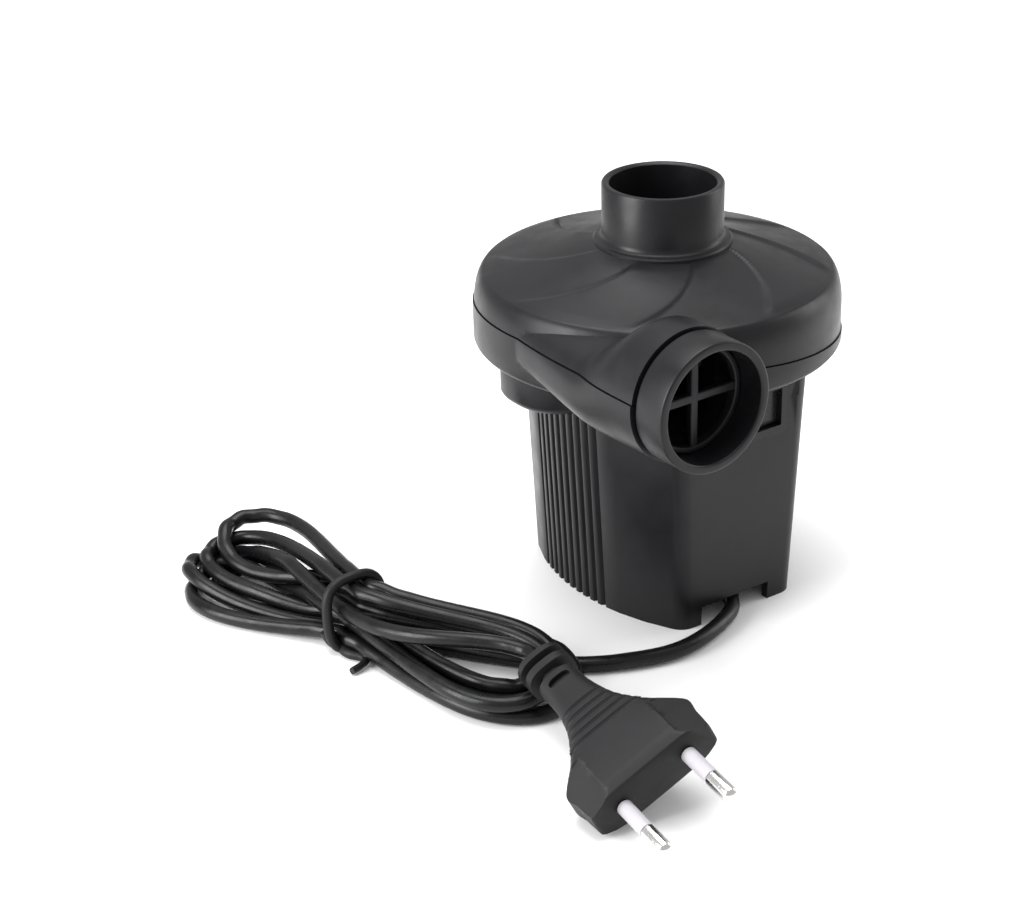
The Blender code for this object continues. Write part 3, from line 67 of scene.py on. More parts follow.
def make_camera():
    """Camera that looks down at the pump from its front left."""
    azimuth, elevation, roll = CAMERA_AZIMUTH, CAMERA_ELEVATION, CAMERA_ROLL
    back = Vector((math.sin(azimuth) * math.cos(elevation), -math.cos(azimuth) * math.cos(elevation),
                   math.sin(elevation)))
    right = Vector((math.cos(azimuth), math.sin(azimuth), 0.0))
    up = back.cross(right)
    right, up = (math.cos(roll) * right + math.sin(roll) * up, math.cos(roll) * up - math.sin(roll) * right)
    place = at(*CAMERA_TARGET) + (back * CAMERA_FAR + right * CAMERA_RIGHT + up * CAMERA_UP) * MM
    data = bpy.data.cameras.new("camera")
    data.sensor_width = 36.0
    data.lens = CAMERA_LENS
    data.clip_start = 0.01
    data.clip_end = 20.0
    camera = bpy.data.objects.new("camera", data)
    bpy.context.scene.collection.objects.link(camera)
    matrix = Matrix((right, up, back)).transposed().to_4x4()
    matrix.translation = place
    camera.matrix_world = matrix
    bpy.context.scene.camera = camera


make_camera()


# ---- cord ----------------------------------------------------------------------------------------
CORD_D = 4.2
CORD_STEP = 2.4
# from the sleeve's tip along the floor to the hank, in millimetres from the motor axis
LEAD = [(0.34, -29.78, 2.78), (-0.9, -31.93, 2.62), (-3.3, -34.7, 2.5), (-7.0, -37.0, 2.5),
        (-11.8, -39.2, 2.5), (-17.0, -41.0, 2.5), (-22.5, -42.3, 2.5), (-28.5, -42.7, 2.5),
        (-34.2, -41.8, 2.5), (-39.5, -40.0, 2.5), (-44.6, -37.8, 2.5)]
LEAD_IN = [(-50.5, -35.0, 2.5), (-57.0, -30.5, 2.4), (-62.5, -24.0, 2.4), (-67.0, -16.0, 2.4),
           (-72.5, -6.0, 2.4), (-79.0, 3.0, 2.8)]
TIE_X, TIE_Y = -90.3, 15.0
# half length of the straight run of each strand under the tie
TIE_HOLD = 2.5
# places of the ten strands under the tie: sideways and up
SLOT = {name: (TIE_X + w, TIE_Y, z) for name, w, z in (
    ("e1", 4.6, 4.0), ("e2", 0.0, 12.0), ("b1", 2.3, 8.0), ("b2", 0.0, 15.8), ("d2", -2.3, 8.0),
    ("d1", -4.6, 4.0), ("a1", 4.6, 12.0), ("a2", 4.2, 16.0), ("c1", 0.0, 4.0), ("c2", -4.4, 12.2))}
# folds: middle of the arc, its radius, way round, and its heights where it starts, at its tip and
# where it ends
LEFT_E = ((-101.0, 60.0), 9.0, -1, (3.4, 4.6, 6.6))
LEFT_B = ((-98.0, 63.5), 9.0, -1, (4.6, 8.8, 12.6))
LEFT_D = ((-107.0, 57.0), 10.5, 1, (5.6, 4.2, 2.4))
LEFT_A = ((-92.0, 64.0), 10.5, -1, (7.0, 12.2, 15.2))
LEFT_C = ((-103.5, 65.5), 9.5, -1, (3.4, 7.0, 10.2))
RIGHT_4 = ((-72.0, -27.0), 10.0, -1, (8.6, 6.6, 5.8))
RIGHT_3 = ((-76.0, -33.0), 12.5, -1, (12.6, 9.2, 7.2))
RIGHT_1 = ((-71.5, -31.0), 15.8, 1, (2.4, 2.6, 6.4))
RIGHT_2 = ((-70.5, -28.5), 12.4, -1, (10.4, 7.0, 3.0))
TAIL_RUN = [(-94.0, 3.0, 13.2), (-91.5, -9.0, 15.2), (-87.0, -19.0, 17.0), (-81.0, -27.0, 17.4),
            (-76.0, -33.5, 16.8)]


PLUG_L = 54.0
PLUG_FACE = (-79.5, -96.8, 12.3)
PLUG_YAW, PLUG_PITCH, PLUG_ROLL = -6.9, 3.0, 28.0
# round body that the strands keep off, in place of the plug's tail
PLUG_TAIL_FROM, PLUG_TAIL_R = 30.0, 5.6


def plug_matrix():
    """Frame of the plug: pins along +Z, spaced along X, face at the origin."""
    base = Matrix(((1, 0, 0), (0, 0, -1), (0, 1, 0))).to_4x4()
    yaw = Matrix.Rotation(math.radians(PLUG_YAW), 4, "Z")
    pitch = Matrix.Rotation(math.radians(PLUG_PITCH), 4, "X")
    roll = Matrix.Rotation(math.radians(PLUG_ROLL), 4, "Z")
    return Matrix.Translation(at(*PLUG_FACE)) @ yaw @ pitch @ base @ roll


PLUG = plug_matrix()


def fold(start, loop, end):
    """Route from one place under the tie round an arc and back to another."""
    (cx, cy), radius, way, heights = loop

    def touch(point, side):
        dx, dy = point[0] - cx, point[1] - cy
        far = math.hypot(dx, dy)
        return math.atan2(dy, dx) + side * math.acos(radius / far)

    first = touch(start, way)
    last = touch(end, -way)
    while (last - first) * way < 0:
        last += way * 2 * math.pi
    steps = 10
    arc = []
    for k in range(steps + 1):
        t = k / steps
        a = first + (last - first) * t
        z = (heights[0] * (1 - t) * (1 - 2 * t) + heights[1] * 4 * t * (1 - t)
             + heights[2] * t * (2 * t - 1))
        arc.append((cx + radius * math.cos(a), cy + radius * math.sin(a), z))
    return ([between(start, arc[0], s) for s in (0.34, 0.67)] + arc
            + [between(arc[-1], end, s) for s in (0.33, 0.66)])


def between(a, b, share):
    """The point at a share of the way from a to b."""
    return tuple(p + (q - p) * share for p, q in zip(a, b))


def hold(name, way):
    """A strand's two places at the tie, where it runs straight across it; way 1 goes to the back."""
    x, y, z = SLOT[name]
    return [(x, y - way * TIE_HOLD, z), (x, y + way * TIE_HOLD, z)]


def catmull(points, spacing):
    """Even points on a Catmull-Rom curve through a route."""
    knots = np.array(points, float)
    knots = np.vstack([2 * knots[0] - knots[1], knots, 2 * knots[-1] - knots[-2]])
    t = np.linspace(0, 1, 16, endpoint=False)[:, None]
    fine = [0.5 * (2 * b + (c - a) * t + (2 * a - 5 * b + 4 * c - d) * t ** 2
                   + (3 * b - a - 3 * c + d) * t ** 3)
            for a, b, c, d in zip(knots, knots[1:], knots[2:], knots[3:])]
    fine = np.vstack(fine + [knots[-2][None]])
    run = np.concatenate([[0], np.cumsum(np.linalg.norm(np.diff(fine, axis=0), axis=1))])
    count = max(2, round(run[-1] / spacing)) + 1
    even = np.linspace(0, run[-1], count)
    return np.column_stack([np.interp(even, run, fine[:, k]) for k in range(3)])


SETTLE_STEPS = 460
# neighbour distances at which the cord resists bending, and how much
STIFFNESS = ((1, 0.03), (3, 0.028))
# pull back to where it was laid, in the first third of the steps and after it
HOLD_EARLY, HOLD_LATE = 0.03, 0.006
SINK = 0.01
LOOK_AROUND = 3.0
STRAND_GAP = 1.01
FLOOR_GAP = 0.1


def settle(points, pinned, obstacles):
    """Lets a cord's strands push each other apart and bend smoothly, near where they were laid."""
    p = points.copy()
    laid = points.copy()
    step = np.linalg.norm(np.diff(p, axis=0), axis=1).mean()
    apart = int(math.ceil(2.2 * CORD_D / step))
    free = ~pinned
    n = len(p)
    upper = np.triu(np.ones((n, n), bool), apart)
    for turn in range(SETTLE_STEPS):
        if turn % 8 == 0:
            gap = p[:, None, :] - p[None, :, :]
            near = (np.einsum("ijk,ijk->ij", gap, gap) < (CORD_D + LOOK_AROUND) ** 2) & upper
            one, two = np.nonzero(near)
        move = np.zeros_like(p)
        for reach, stiff in STIFFNESS:
            bend = (p[:-4 * reach] - 4 * p[reach:-3 * reach] + 6 * p[2 * reach:-2 * reach]
                    - 4 * p[3 * reach:-reach] + p[4 * reach:])
            move[2 * reach:-2 * reach] -= stiff * bend
        move += (HOLD_EARLY if turn < SETTLE_STEPS // 3 else HOLD_LATE) * (laid - p)
        move[:, 2] -= SINK
        p[free] += move[free]
        for _ in range(3):
            push = np.zeros_like(p)
            hits = np.zeros(n)
            d = p[one] - p[two]
            length = np.linalg.norm(d, axis=1) + 1e-9
            short = np.clip(CORD_D * STRAND_GAP - length, 0, None)
            force = d / length[:, None] * (short * 0.5)[:, None]
            np.add.at(push, one, force)
            np.add.at(push, two, -force)
            np.add.at(hits, one, short > 0)
            np.add.at(hits, two, short > 0)
            for a, b, wide in obstacles:
                along = b - a
                s = np.clip(((p - a) @ along) / (along @ along), 0, 1)[:, None]
                away = p - (a + s * along)
                far = np.linalg.norm(away, axis=1) + 1e-9
                miss = np.clip(wide + CORD_D / 2 - far, 0, None)
                push += away / far[:, None] * miss[:, None]
                hits += miss > 0
            p[free] += (push / np.maximum(hits, 1)[:, None])[free]
            d = np.diff(p, axis=0)
            length = np.linalg.norm(d, axis=1)
            fix = d * ((length - step) / length * 0.5)[:, None] * 0.5
            p[:-1][free[:-1]] += fix[free[:-1]]
            p[1:][free[1:]] -= fix[free[1:]]
            low = free & (p[:, 2] < CORD_D / 2 + FLOOR_GAP)
            p[low, 2] = CORD_D / 2 + FLOOR_GAP
    return p


def cord_line():
    """Centreline of the whole cord, from the sleeve to the plug, in millimetres from the motor axis."""
    tail = [tuple((PLUG @ Vector((0, 0, -(PLUG_L + k) * MM)) - AXIS) / MM) for k in (6.0, 1.0, -3.0)]
    route = LEAD + LEAD_IN
    passes = (("e1", LEFT_E, "e2", RIGHT_4), ("b1", LEFT_B, "b2", RIGHT_3),
              ("d2", LEFT_D, "d1", RIGHT_1), ("a1", LEFT_A, "a2", RIGHT_2), ("c1", LEFT_C, "c2", None))
    for number, (there, left, back, right) in enumerate(passes):
        route = route + hold(there, 1) + fold(SLOT[there], left, SLOT[back]) + hold(back, -1)
        if right:
            route = route + fold(SLOT[back], right, SLOT[passes[number + 1][0]])
    route = route + TAIL_RUN + tail
    points = catmull(route, CORD_STEP)
    pinned = np.zeros(len(points), bool)
    for name in SLOT:
        for place in hold(name, 1):
            pinned[np.argmin(np.linalg.norm(points - np.array(place), axis=1))] = True
    lead_end = np.argmin(np.linalg.norm(points - np.array(LEAD[-1]), axis=1))
    pinned[:lead_end] = True
    pinned[-4:] = True
    low = np.array(PLUG @ Vector((0, 0, -PLUG_L * MM)) - AXIS) / MM
    high = np.array(PLUG @ Vector((0, 0, -PLUG_TAIL_FROM * MM)) - AXIS) / MM
    return settle(points, pinned, [(low + (high - low) * 0.12, high, PLUG_TAIL_R)])


def cord_curve():
    """The cord as one open spline."""
    line = cord_line()
    curve = bpy.data.curves.new("power_cord", "CURVE")
    curve.dimensions = "3D"
    curve.bevel_depth = CORD_D / 2 * MM
    curve.bevel_resolution = 5
    curve.use_fill_caps = True
    curve.resolution_u = 3
    spline = curve.splines.new("NURBS")
    spline.points.add(len(line) - 1)
    for knot, point in zip(spline.points, line):
        knot.co = (*at(*point), 1.0)
    spline.order_u = 4
    spline.use_endpoint_u = True
    spline.use_smooth = True
    obj = bpy.data.objects.new("power_cord", curve)
    PIECES.objects.link(obj)
    length = float(np.linalg.norm(np.diff(line, axis=0), axis=1).sum()) * MM
    return obj, line, length


CORD, CORD_LINE, CORD_LENGTH = cord_curve()


# ---- mesh helpers --------------------------------------------------------------------------------
def piece(name, mesh, matrix=None, angle=32.0):
    """A shown piece, shaded smooth between its corners, that moves with the pump's body."""
    mesh.shade_smooth()
    mesh.set_sharp_from_angle(angle=math.radians(angle))
    obj = bpy.data.objects.new(name, mesh)
    mesh.name = name
    PIECES.objects.link(obj)
    if matrix is not None:
        obj.matrix_world = matrix
    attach(obj, "pump_body")
    return obj


def welded(mesh):
    """Joins points that meet and turns every face outwards."""
    bm = bmesh.new()
    bm.from_mesh(mesh)
    bmesh.ops.remove_doubles(bm, verts=bm.verts, dist=1e-6)
    bmesh.ops.recalc_face_normals(bm, faces=bm.faces)
    bm.to_mesh(mesh)
    bm.free()
    return mesh


def skin(rings, closed=False):
    """Mesh through rings of equal point counts, with its ends filled unless it closes on itself."""
    count = len(rings[0])
    points = [tuple(p) for ring in rings for p in ring]
    faces = []
    pairs = [(k, k + 1) for k in range(len(rings) - 1)]
    if closed:
        pairs.append((len(rings) - 1, 0))
    for low, high in pairs:
        for i in range(count):
            j = (i + 1) % count
            faces.append((low * count + i, low * count + j, high * count + j, high * count + i))
    if not closed:
        faces.append(tuple(range(count)))
        faces.append(tuple((len(rings) - 1) * count + i for i in range(count)))
    mesh = bpy.data.meshes.new("skin")
    mesh.from_pydata(points, [], faces)
    return welded(mesh)


def turned(profile, segments=96, closed=False, middle=(0.0, 0.0)):
    """A profile of (radius, height) in millimetres turned about Z."""
    rings = []
    for r, z in profile:
        r = max(r, 0.02)
        rings.append([Vector((middle[0] + r * math.cos(2 * math.pi * i / segments),
                              middle[1] + r * math.sin(2 * math.pi * i / segments), z)) * MM
                      for i in range(segments)])
    return skin(rings, closed)


def rounded_profile(points, radius, steps=3):
    """A closed profile with its corners rounded."""
    out = []
    count = len(points)
    for k, here in enumerate(points):
        p, q = np.array(points[k - 1], float), np.array(points[(k + 1) % count], float)
        c = np.array(here, float)
        a, b = p - c, q - c
        trim = min(radius, 0.45 * np.linalg.norm(a), 0.45 * np.linalg.norm(b))
        a, b = c + a / np.linalg.norm(a) * trim, c + b / np.linalg.norm(b) * trim
        for s in range(steps + 1):
            t = s / steps
            out.append(tuple((1 - t) ** 2 * a + 2 * t * (1 - t) * c + t * t * b))
    return out


def superellipse(half_a, half_b, power, count):
    """Points round an ellipse that gets squarer as its power grows past 2."""
    points = []
    for i in range(count):
        a = 2 * math.pi * i / count
        c, s = math.cos(a), math.sin(a)
        points.append((half_a * math.copysign(abs(c) ** (2 / power), c),
                       half_b * math.copysign(abs(s) ** (2 / power), s)))
    return points


def block(low, high):
    """A box between two corners in millimetres from the motor axis."""
    bm = bmesh.new()
    a, b = Vector(low) * MM, Vector(high) * MM
    bmesh.ops.create_cube(bm, size=1.0,
                          matrix=Matrix.Translation((a + b) / 2) @ Matrix.Diagonal((*(b - a), 1)))
    mesh = bpy.data.meshes.new("block")
    bm.to_mesh(mesh)
    bm.free()
    return mesh


def cut(mesh, *steps):
    """Runs booleans, each an operation and a mesh, and gives the result."""
    host = bpy.data.objects.new("host", mesh)
    PIECES.objects.link(host)
    helpers = []
    for number, (operation, other) in enumerate(steps):
        helper = bpy.data.objects.new("helper", other)
        PIECES.objects.link(helper)
        helpers.append(helper)
        modifier = host.modifiers.new(f"step_{number}", "BOOLEAN")
        modifier.operation = operation
        modifier.object = helper
        modifier.solver = "EXACT"
    bpy.context.view_layer.update()
    graph = bpy.context.evaluated_depsgraph_get()
    result = bpy.data.meshes.new_from_object(host.evaluated_get(graph))
    for obj in (host, *helpers):
        bpy.data.objects.remove(obj, do_unlink=True)
    return result


def bevel(obj, width, segments=2, angle=35.0):
    """Rounds an object's edges as it is shown."""
    modifier = obj.modifiers.new("edges", "BEVEL")
    modifier.width = width * MM
    modifier.segments = segments
    modifier.limit_method = "ANGLE"
    modifier.angle_limit = math.radians(angle)
    return obj


SHIFT = Matrix.Translation(AXIS)

# ---- volute, in millimetres from the motor axis --------------------------------------------------
WALL = 2.2
VOLUTE_R, VOLUTE_X, VOLUTE_Y, VOLUTE_Z = 48.5, -1.1, 0.8, 69.7
SHOULDER_Z, SHOULDER_IN, SEAM_Z, CHIN = 89.8, 3.3, 81.0, 2.2
NECK_R, NECK_BORE, NECK_FOOT, NECK_TOP = 16.0, 14.0, 97.6, 113.0
# narrower inlet below the neck's bore, and the height of the step to it
INLET_R, INLET_Z = 12.2, 97.4
OUTLET_X, OUTLET_Y, DUCT_R = -35.6, -64.2, 17.1
DUCT_START, DUCT_END, BEND_END = 9.0, -53.6, -46.0
DUCT_BACK_X = (-47.5, -19.0)
DUCT_POWER = (3.2, 2.0)
# share of the duct's length over which its top and its bottom stay level
DUCT_TOP_LEVEL, DUCT_LOW_LEVEL = 0.7, 0.25
PETALS = 8
PETAL_STEP = 0.6
# part of each petal over which its step rises, and where the petals stop short of the neck and the rim
PETAL_EDGE, PETAL_INNER, PETAL_OUTER = 0.04, 1.5, 0.2
# the base stands this much proud of the cover
SEAM_STEP = 0.35
SEAM_TILT = 6.0
SEAM_GAP = 0.15


def chamber_profile(inset, rows):
    """Half section of the chamber, from the top of its axis down to the middle of its foot."""
    r = VOLUTE_R - inset
    edge = r - SHOULDER_IN
    top = SHOULDER_Z - inset
    foot = VOLUTE_Z + max(inset, 0.0)
    points = [(0.0, NECK_FOOT + 1.0 - inset)]
    half_z = top + 0.42 * (NECK_FOOT - SHOULDER_Z)
    for k in range(rows + 1):
        t = k / rows
        bow = 4 * t * (1 - t)
        line_z = (1 - t) * (NECK_FOOT - 0.2 - inset) + t * top
        mid_z = (NECK_FOOT - 0.2 - inset + top) / 2
        points.append((NECK_R + (edge - NECK_R) * t, line_z + (half_z - mid_z) * bow))
    rise = top - SEAM_Z
    points.append((edge + 0.35, top - 0.12))
    for k in range(1, 9):
        a = RIGHT * k / 8
        points.append((edge + (r - edge) * math.sin(a), SEAM_Z + rise * math.cos(a)))
    points.append((r, foot + 6.0))
    for k in range(0, 7):
        a = RIGHT * k / 6
        points.append((r - CHIN * 1.6 + CHIN * 1.6 * math.cos(a) - 0.4 * math.sin(a),
                       foot + CHIN - CHIN * math.sin(a)))
    points.append((0.0, foot))
    return points


def petals(mesh):
    """Raises the fan of swirled steps on the cone round the neck."""
    for vertex in mesh.vertices:
        x, y = vertex.co.x / MM - VOLUTE_X, vertex.co.y / MM - VOLUTE_Y
        r = math.hypot(x, y)
        inner, outer = NECK_R + PETAL_INNER, VOLUTE_R - SHOULDER_IN + PETAL_OUTER
        if not inner < r < outer or vertex.co.z / MM < SHOULDER_Z - 0.5:
            continue
        swirl = math.radians(4.0 + 30.0 * (40.0 - r) / 22.0)
        phase = ((math.atan2(y, x) - swirl) * PETALS / (2 * math.pi)) % 1.0
        saw = phase / PETAL_EDGE if phase < PETAL_EDGE else 1.0 - (phase - PETAL_EDGE) / (1.0 - PETAL_EDGE)
        fade = min(1.0, (r - inner) / 4.0) * min(1.0, (outer - r) / 2.5)
        vertex.co.z += PETAL_STEP * saw * max(0.0, fade) * MM
    return mesh


def late_ease(t, level):
    """0 up to a level, then an ease to 1."""
    late = max(0.0, (t - level) / (1.0 - level))
    return late * late * (3 - 2 * late)


def duct(inset, front=DUCT_END, count=72, steps=30):
    """The duct from inside the chamber to its round end."""
    start_x = (DUCT_BACK_X[0] + inset, DUCT_BACK_X[1] - inset)
    start_z = (VOLUTE_Z + 1.2 + inset, SHOULDER_Z - 1.6 - inset)
    end_r = DUCT_R - inset
    rings = []
    for k in range(steps + 1):
        t = k / steps
        y = DUCT_START + (BEND_END - DUCT_START) * t
        outer = start_x[0] + (OUTLET_X - end_r - start_x[0]) * (1 - (1 - t) ** 2)
        inner = start_x[1] + (OUTLET_X + end_r - start_x[1]) * late_ease(t, 0.0)
        low = start_z[0] + (SEAM_Z - end_r - start_z[0]) * late_ease(t, DUCT_LOW_LEVEL)
        high = start_z[1] + (SEAM_Z + end_r - start_z[1]) * late_ease(t, DUCT_TOP_LEVEL)
        power = DUCT_POWER[0] + (DUCT_POWER[1] - DUCT_POWER[0]) * t
        rings.append([Vector(((outer + inner) / 2 + a, y, (low + high) / 2 + b)) * MM
                      for a, b in superellipse((inner - outer) / 2, (high - low) / 2, power, count)])
    rings.append([Vector((p.x, front * MM, p.z)) for p in rings[-1]])
    return skin(rings)


def volute():
    """Cover and base, split at the seam, where the base stands a little proud."""
    middle = (VOLUTE_X, VOLUTE_Y)
    neck = turned([(0, NECK_TOP), (NECK_R - 0.9, NECK_TOP), (NECK_R - 0.35, NECK_TOP - 0.12),
                   (NECK_R, NECK_TOP - 0.6), (NECK_R, NECK_FOOT + 2.0), (NECK_R + 0.12, NECK_FOOT + 1.2),
                   (NECK_R + 0.45, NECK_FOOT + 0.65), (NECK_R + 1.0, NECK_FOOT + 0.3),
                   (NECK_R + 1.9, NECK_FOOT + 0.15), (NECK_R + 2.3, NECK_FOOT - 0.3),
                   (NECK_R + 2.3, NECK_FOOT - 3.0), (0, NECK_FOOT - 3.0)])
    bore = turned([(0, NECK_TOP + 1), (NECK_BORE + 1.3, NECK_TOP + 1), (NECK_BORE + 1.0, NECK_TOP),
                   (NECK_BORE + 0.4, NECK_TOP - 0.15), (NECK_BORE, NECK_TOP - 0.6), (NECK_BORE, INLET_Z),
                   (INLET_R, INLET_Z), (INLET_R, SEAM_Z + 4), (0, SEAM_Z + 4)])
    halves = []
    for low, high in ((SEAM_GAP, 110.0), (-110.0, -SEAM_GAP)):
        half = block((-130.0, -130.0, low), (130.0, 130.0, high))
        half.transform(Matrix.Translation(Vector((OUTLET_X, 0, SEAM_Z)) * MM)
                       @ Matrix.Rotation(math.radians(SEAM_TILT), 4, "Y"))
        halves.append(("INTERSECT", half))
    top_half, low_half = halves
    outside = petals(turned(chamber_profile(0.0, 30), 288, middle=middle))
    hollow = turned(chamber_profile(WALL, 6), 96, middle=middle)
    inner = duct(WALL, DUCT_END - 0.4, 48, 20)
    cover = cut(outside, ("UNION", duct(0.0)), ("UNION", neck), ("DIFFERENCE", hollow),
                ("DIFFERENCE", inner), ("DIFFERENCE", bore), top_half)
    proud = turned(chamber_profile(-SEAM_STEP, 4), 192, middle=middle)
    base = cut(proud, ("UNION", duct(-SEAM_STEP)), ("DIFFERENCE", hollow.copy()),
               ("DIFFERENCE", inner.copy()), low_half)
    cover = piece("volute_cover", cover, matrix=SHIFT, angle=38)
    base = piece("volute_lower", base, matrix=SHIFT, angle=38)
    bevel(cover, 0.18, 1, 60)
    bevel(base, 0.22, 2, 60)
    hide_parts("upper_cover")
    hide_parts("volute_base")
    return cover, base


COVER, BASE = volute()


# ---- outlet --------------------------------------------------------------------------------------
COLLAR_R, COLLAR_BORE, COLLAR_BACK, COLLAR_TIP = 16.7, 14.3, -9.7, -16.7
GUARD_FACE, GUARD_BACK, GUARD_REACH = -7.5, -10.1, 13.2


def outlet_matrix():
    """Frame at the collar's mouth, with +Z along the air's way out."""
    return Matrix.Translation(at(OUTLET_X, OUTLET_Y, SEAM_Z)) @ Matrix.Rotation(RIGHT, 4, "X")


def outlet():
    """Collar with rounded lips, and the guard with its rim and rounded bars."""
    sleeve = DUCT_R - WALL - 0.3
    collar = rounded_profile([(COLLAR_R, 0.0), (COLLAR_R, COLLAR_BACK), (sleeve, COLLAR_BACK),
                              (sleeve, COLLAR_TIP), (sleeve - 1.4, COLLAR_TIP), (13.4, -15.5),
                              (13.4, -10.4), (COLLAR_BORE, -10.4), (COLLAR_BORE, 0.0)], 0.6)
    ring = piece("outlet_collar", turned(collar, 128, closed=True), matrix=outlet_matrix(), angle=50)
    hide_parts("outlet_ring")
    rim = turned(rounded_profile([(14.0, GUARD_BACK), (12.5, GUARD_BACK), (12.5, GUARD_FACE),
                                  (14.0, GUARD_FACE)], 0.4), 96, closed=True)
    bars = []
    for turn in (0.0, RIGHT):
        half = rounded_profile([(-1.1, -9.9), (1.1, -9.9), (1.1, -7.7), (-1.1, -7.7)], 0.5)
        rings = [[Vector((x, w, z)) * MM for w, z in half] for x in (-GUARD_REACH, GUARD_REACH)]
        bar = skin(rings)
        bar.transform(Matrix.Rotation(turn, 4, "Z"))
        bars.append(("UNION", bar))
    guard = piece("outlet_guard", cut(rim, *bars), matrix=outlet_matrix(), angle=40)
    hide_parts("outlet_grille")
    return ring, guard


RING, GUARD = outlet()

# ---- casing --------------------------------------------------------------------------------------
CASE_W, CASE_D, TAPER_W, TAPER_D, SIDE_R, CORNER = 27.8, 33.1, 3.9, 1.6, 63.6, 3.0
CASE_TOP, ARCH_H, ARCH_X, ARCH_HALF = 69.4, 5.3, -1.0, 11.6
FLUTES, FLUTE_PITCH, FLUTE_W, FLUTE_DEEP, FLUTE_MID = 10, 3.1, 1.3, 0.9, 4.6
# a groove's section: place across it in groove widths, and share of its depth
FLUTE_SHAPE = ((-0.72, 0.0), (-0.55, 0.12), (-0.34, 0.8), (-0.2, 1.0), (0.2, 1.0), (0.34, 0.8),
               (0.55, 0.12), (0.72, 0.0))
HOOD_OUT, HOOD_HALF, HOOD_Z, HOOD_POWER = 46.0, 19.0, 59.5, 2.6
SWITCH_X, SWITCH_Z, SWITCH_HALF_W, SWITCH_HALF_H = 2.0, 58.6, 9.7, 6.7
# the casing's cut for the duct keeps this much off it
DUCT_CLEAR = 0.65


def casing_outline(z, inset=0.0, fluted=False):
    """Section of the casing: flat front and back, bowed sides, round corners, grooves on one side."""
    t = z / CASE_TOP
    half_w = CASE_W + TAPER_W * t - inset
    half_d = CASE_D + TAPER_D * t - inset
    radius = SIDE_R - inset
    corner = max(CORNER - inset, 0.8)
    top = half_d - corner

    def bow(y):
        return half_w - (radius - math.sqrt(radius ** 2 - y ** 2))

    right = [(bow(y), y) for y in np.linspace(-top, top, 33)]
    marks = [(y, 0.0) for y in np.linspace(-top, top, 9)]
    if fluted:
        first = FLUTE_MID - (FLUTES - 1) / 2 * FLUTE_PITCH
        last = FLUTE_MID + (FLUTES - 1) / 2 * FLUTE_PITCH
        marks = [(y, d) for y, d in marks if y < first - 1.2 or y > last + 1.2]
        for number in range(FLUTES):
            y = first + number * FLUTE_PITCH
            for w, deep in FLUTE_SHAPE:
                marks.append((y + w * FLUTE_W, deep * FLUTE_DEEP))
    marks.sort(reverse=True)
    left = [(-(bow(y) - d), y) for y, d in marks]
    edge_x = bow(top)
    flat = half_w - (radius - math.sqrt(radius ** 2 - half_d ** 2))

    def corner_points(sx, sy):
        out = []
        for k in range(1, 9):
            s = k / 8
            out.append((sx * (edge_x * (1 - s) ** 2 + flat * 2 * s * (1 - s) + (flat - corner) * s * s),
                        sy * (top * (1 - s) ** 2 + half_d * 2 * s * (1 - s) + half_d * s * s)))
        return out

    flat_x = np.linspace(flat - corner, -(flat - corner), 13)[1:-1]
    back = [(x, half_d) for x in flat_x]
    front = [(x, -half_d) for x in flat_x[::-1]]
    return (right + corner_points(1, 1) + back + corner_points(-1, 1)[::-1]
            + left + corner_points(-1, -1) + front + corner_points(1, -1)[::-1])


def casing_form(inset, levels, fluted=False):
    """Solid of the casing's section through a list of heights."""
    return skin([[Vector((x, y, z)) * MM for x, y in casing_outline(z, inset, fluted)] for z in levels])


def hood_form(inset, low, high):
    """Hot-air hood over the fluted side."""
    levels = [(low, 0.0), (high, 0.0)]
    if inset == 0.0:
        levels = [(low, 2.4), (low + 0.5, 1.5), (low + 1.3, 0.6), (low + 2.4, 0.0), (high, 0.0)]
    rings = []
    for z, draw in levels:
        outline = superellipse(HOOD_OUT - inset - draw, HOOD_HALF - inset - draw / 2, HOOD_POWER, 96)[24:73]
        rings.append([Vector((x, FLUTE_MID + y, z)) * MM for x, y in outline])
    return skin(rings)


def casing():
    """Fluted motor casing with hood, arches and the switch's window."""
    levels = [0.0, 8.0, 20.0, 34.0, 48.0, HOOD_Z - 0.2]
    outside = casing_form(0.0, levels, True)
    top_part = casing_form(0.0, [HOOD_Z - 0.5, CASE_TOP])
    hollow = casing_form(WALL, [-2.0, CASE_TOP + 2.0])
    face = -(CASE_D + TAPER_D)
    arches = block((ARCH_X - ARCH_HALF, -60, -5), (ARCH_X + ARCH_HALF, 60, ARCH_H))
    window = block((SWITCH_X - SWITCH_HALF_W, face - 5, SWITCH_Z - SWITCH_HALF_H),
                   (SWITCH_X + SWITCH_HALF_W, face + 8, SWITCH_Z + SWITCH_HALF_H))
    mesh = cut(outside, ("UNION", top_part), ("UNION", hood_form(0.0, HOOD_Z, CASE_TOP)),
               ("DIFFERENCE", hollow), ("DIFFERENCE", hood_form(WALL, HOOD_Z + WALL, CASE_TOP + 2.0)),
               ("DIFFERENCE", duct(-DUCT_CLEAR)), ("DIFFERENCE", arches), ("DIFFERENCE", window))
    body = piece("casing", mesh, matrix=SHIFT, angle=36)
    bevel(body, 0.35, 2, 50)
    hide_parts("motor_housing")
    return body


CASING = casing()


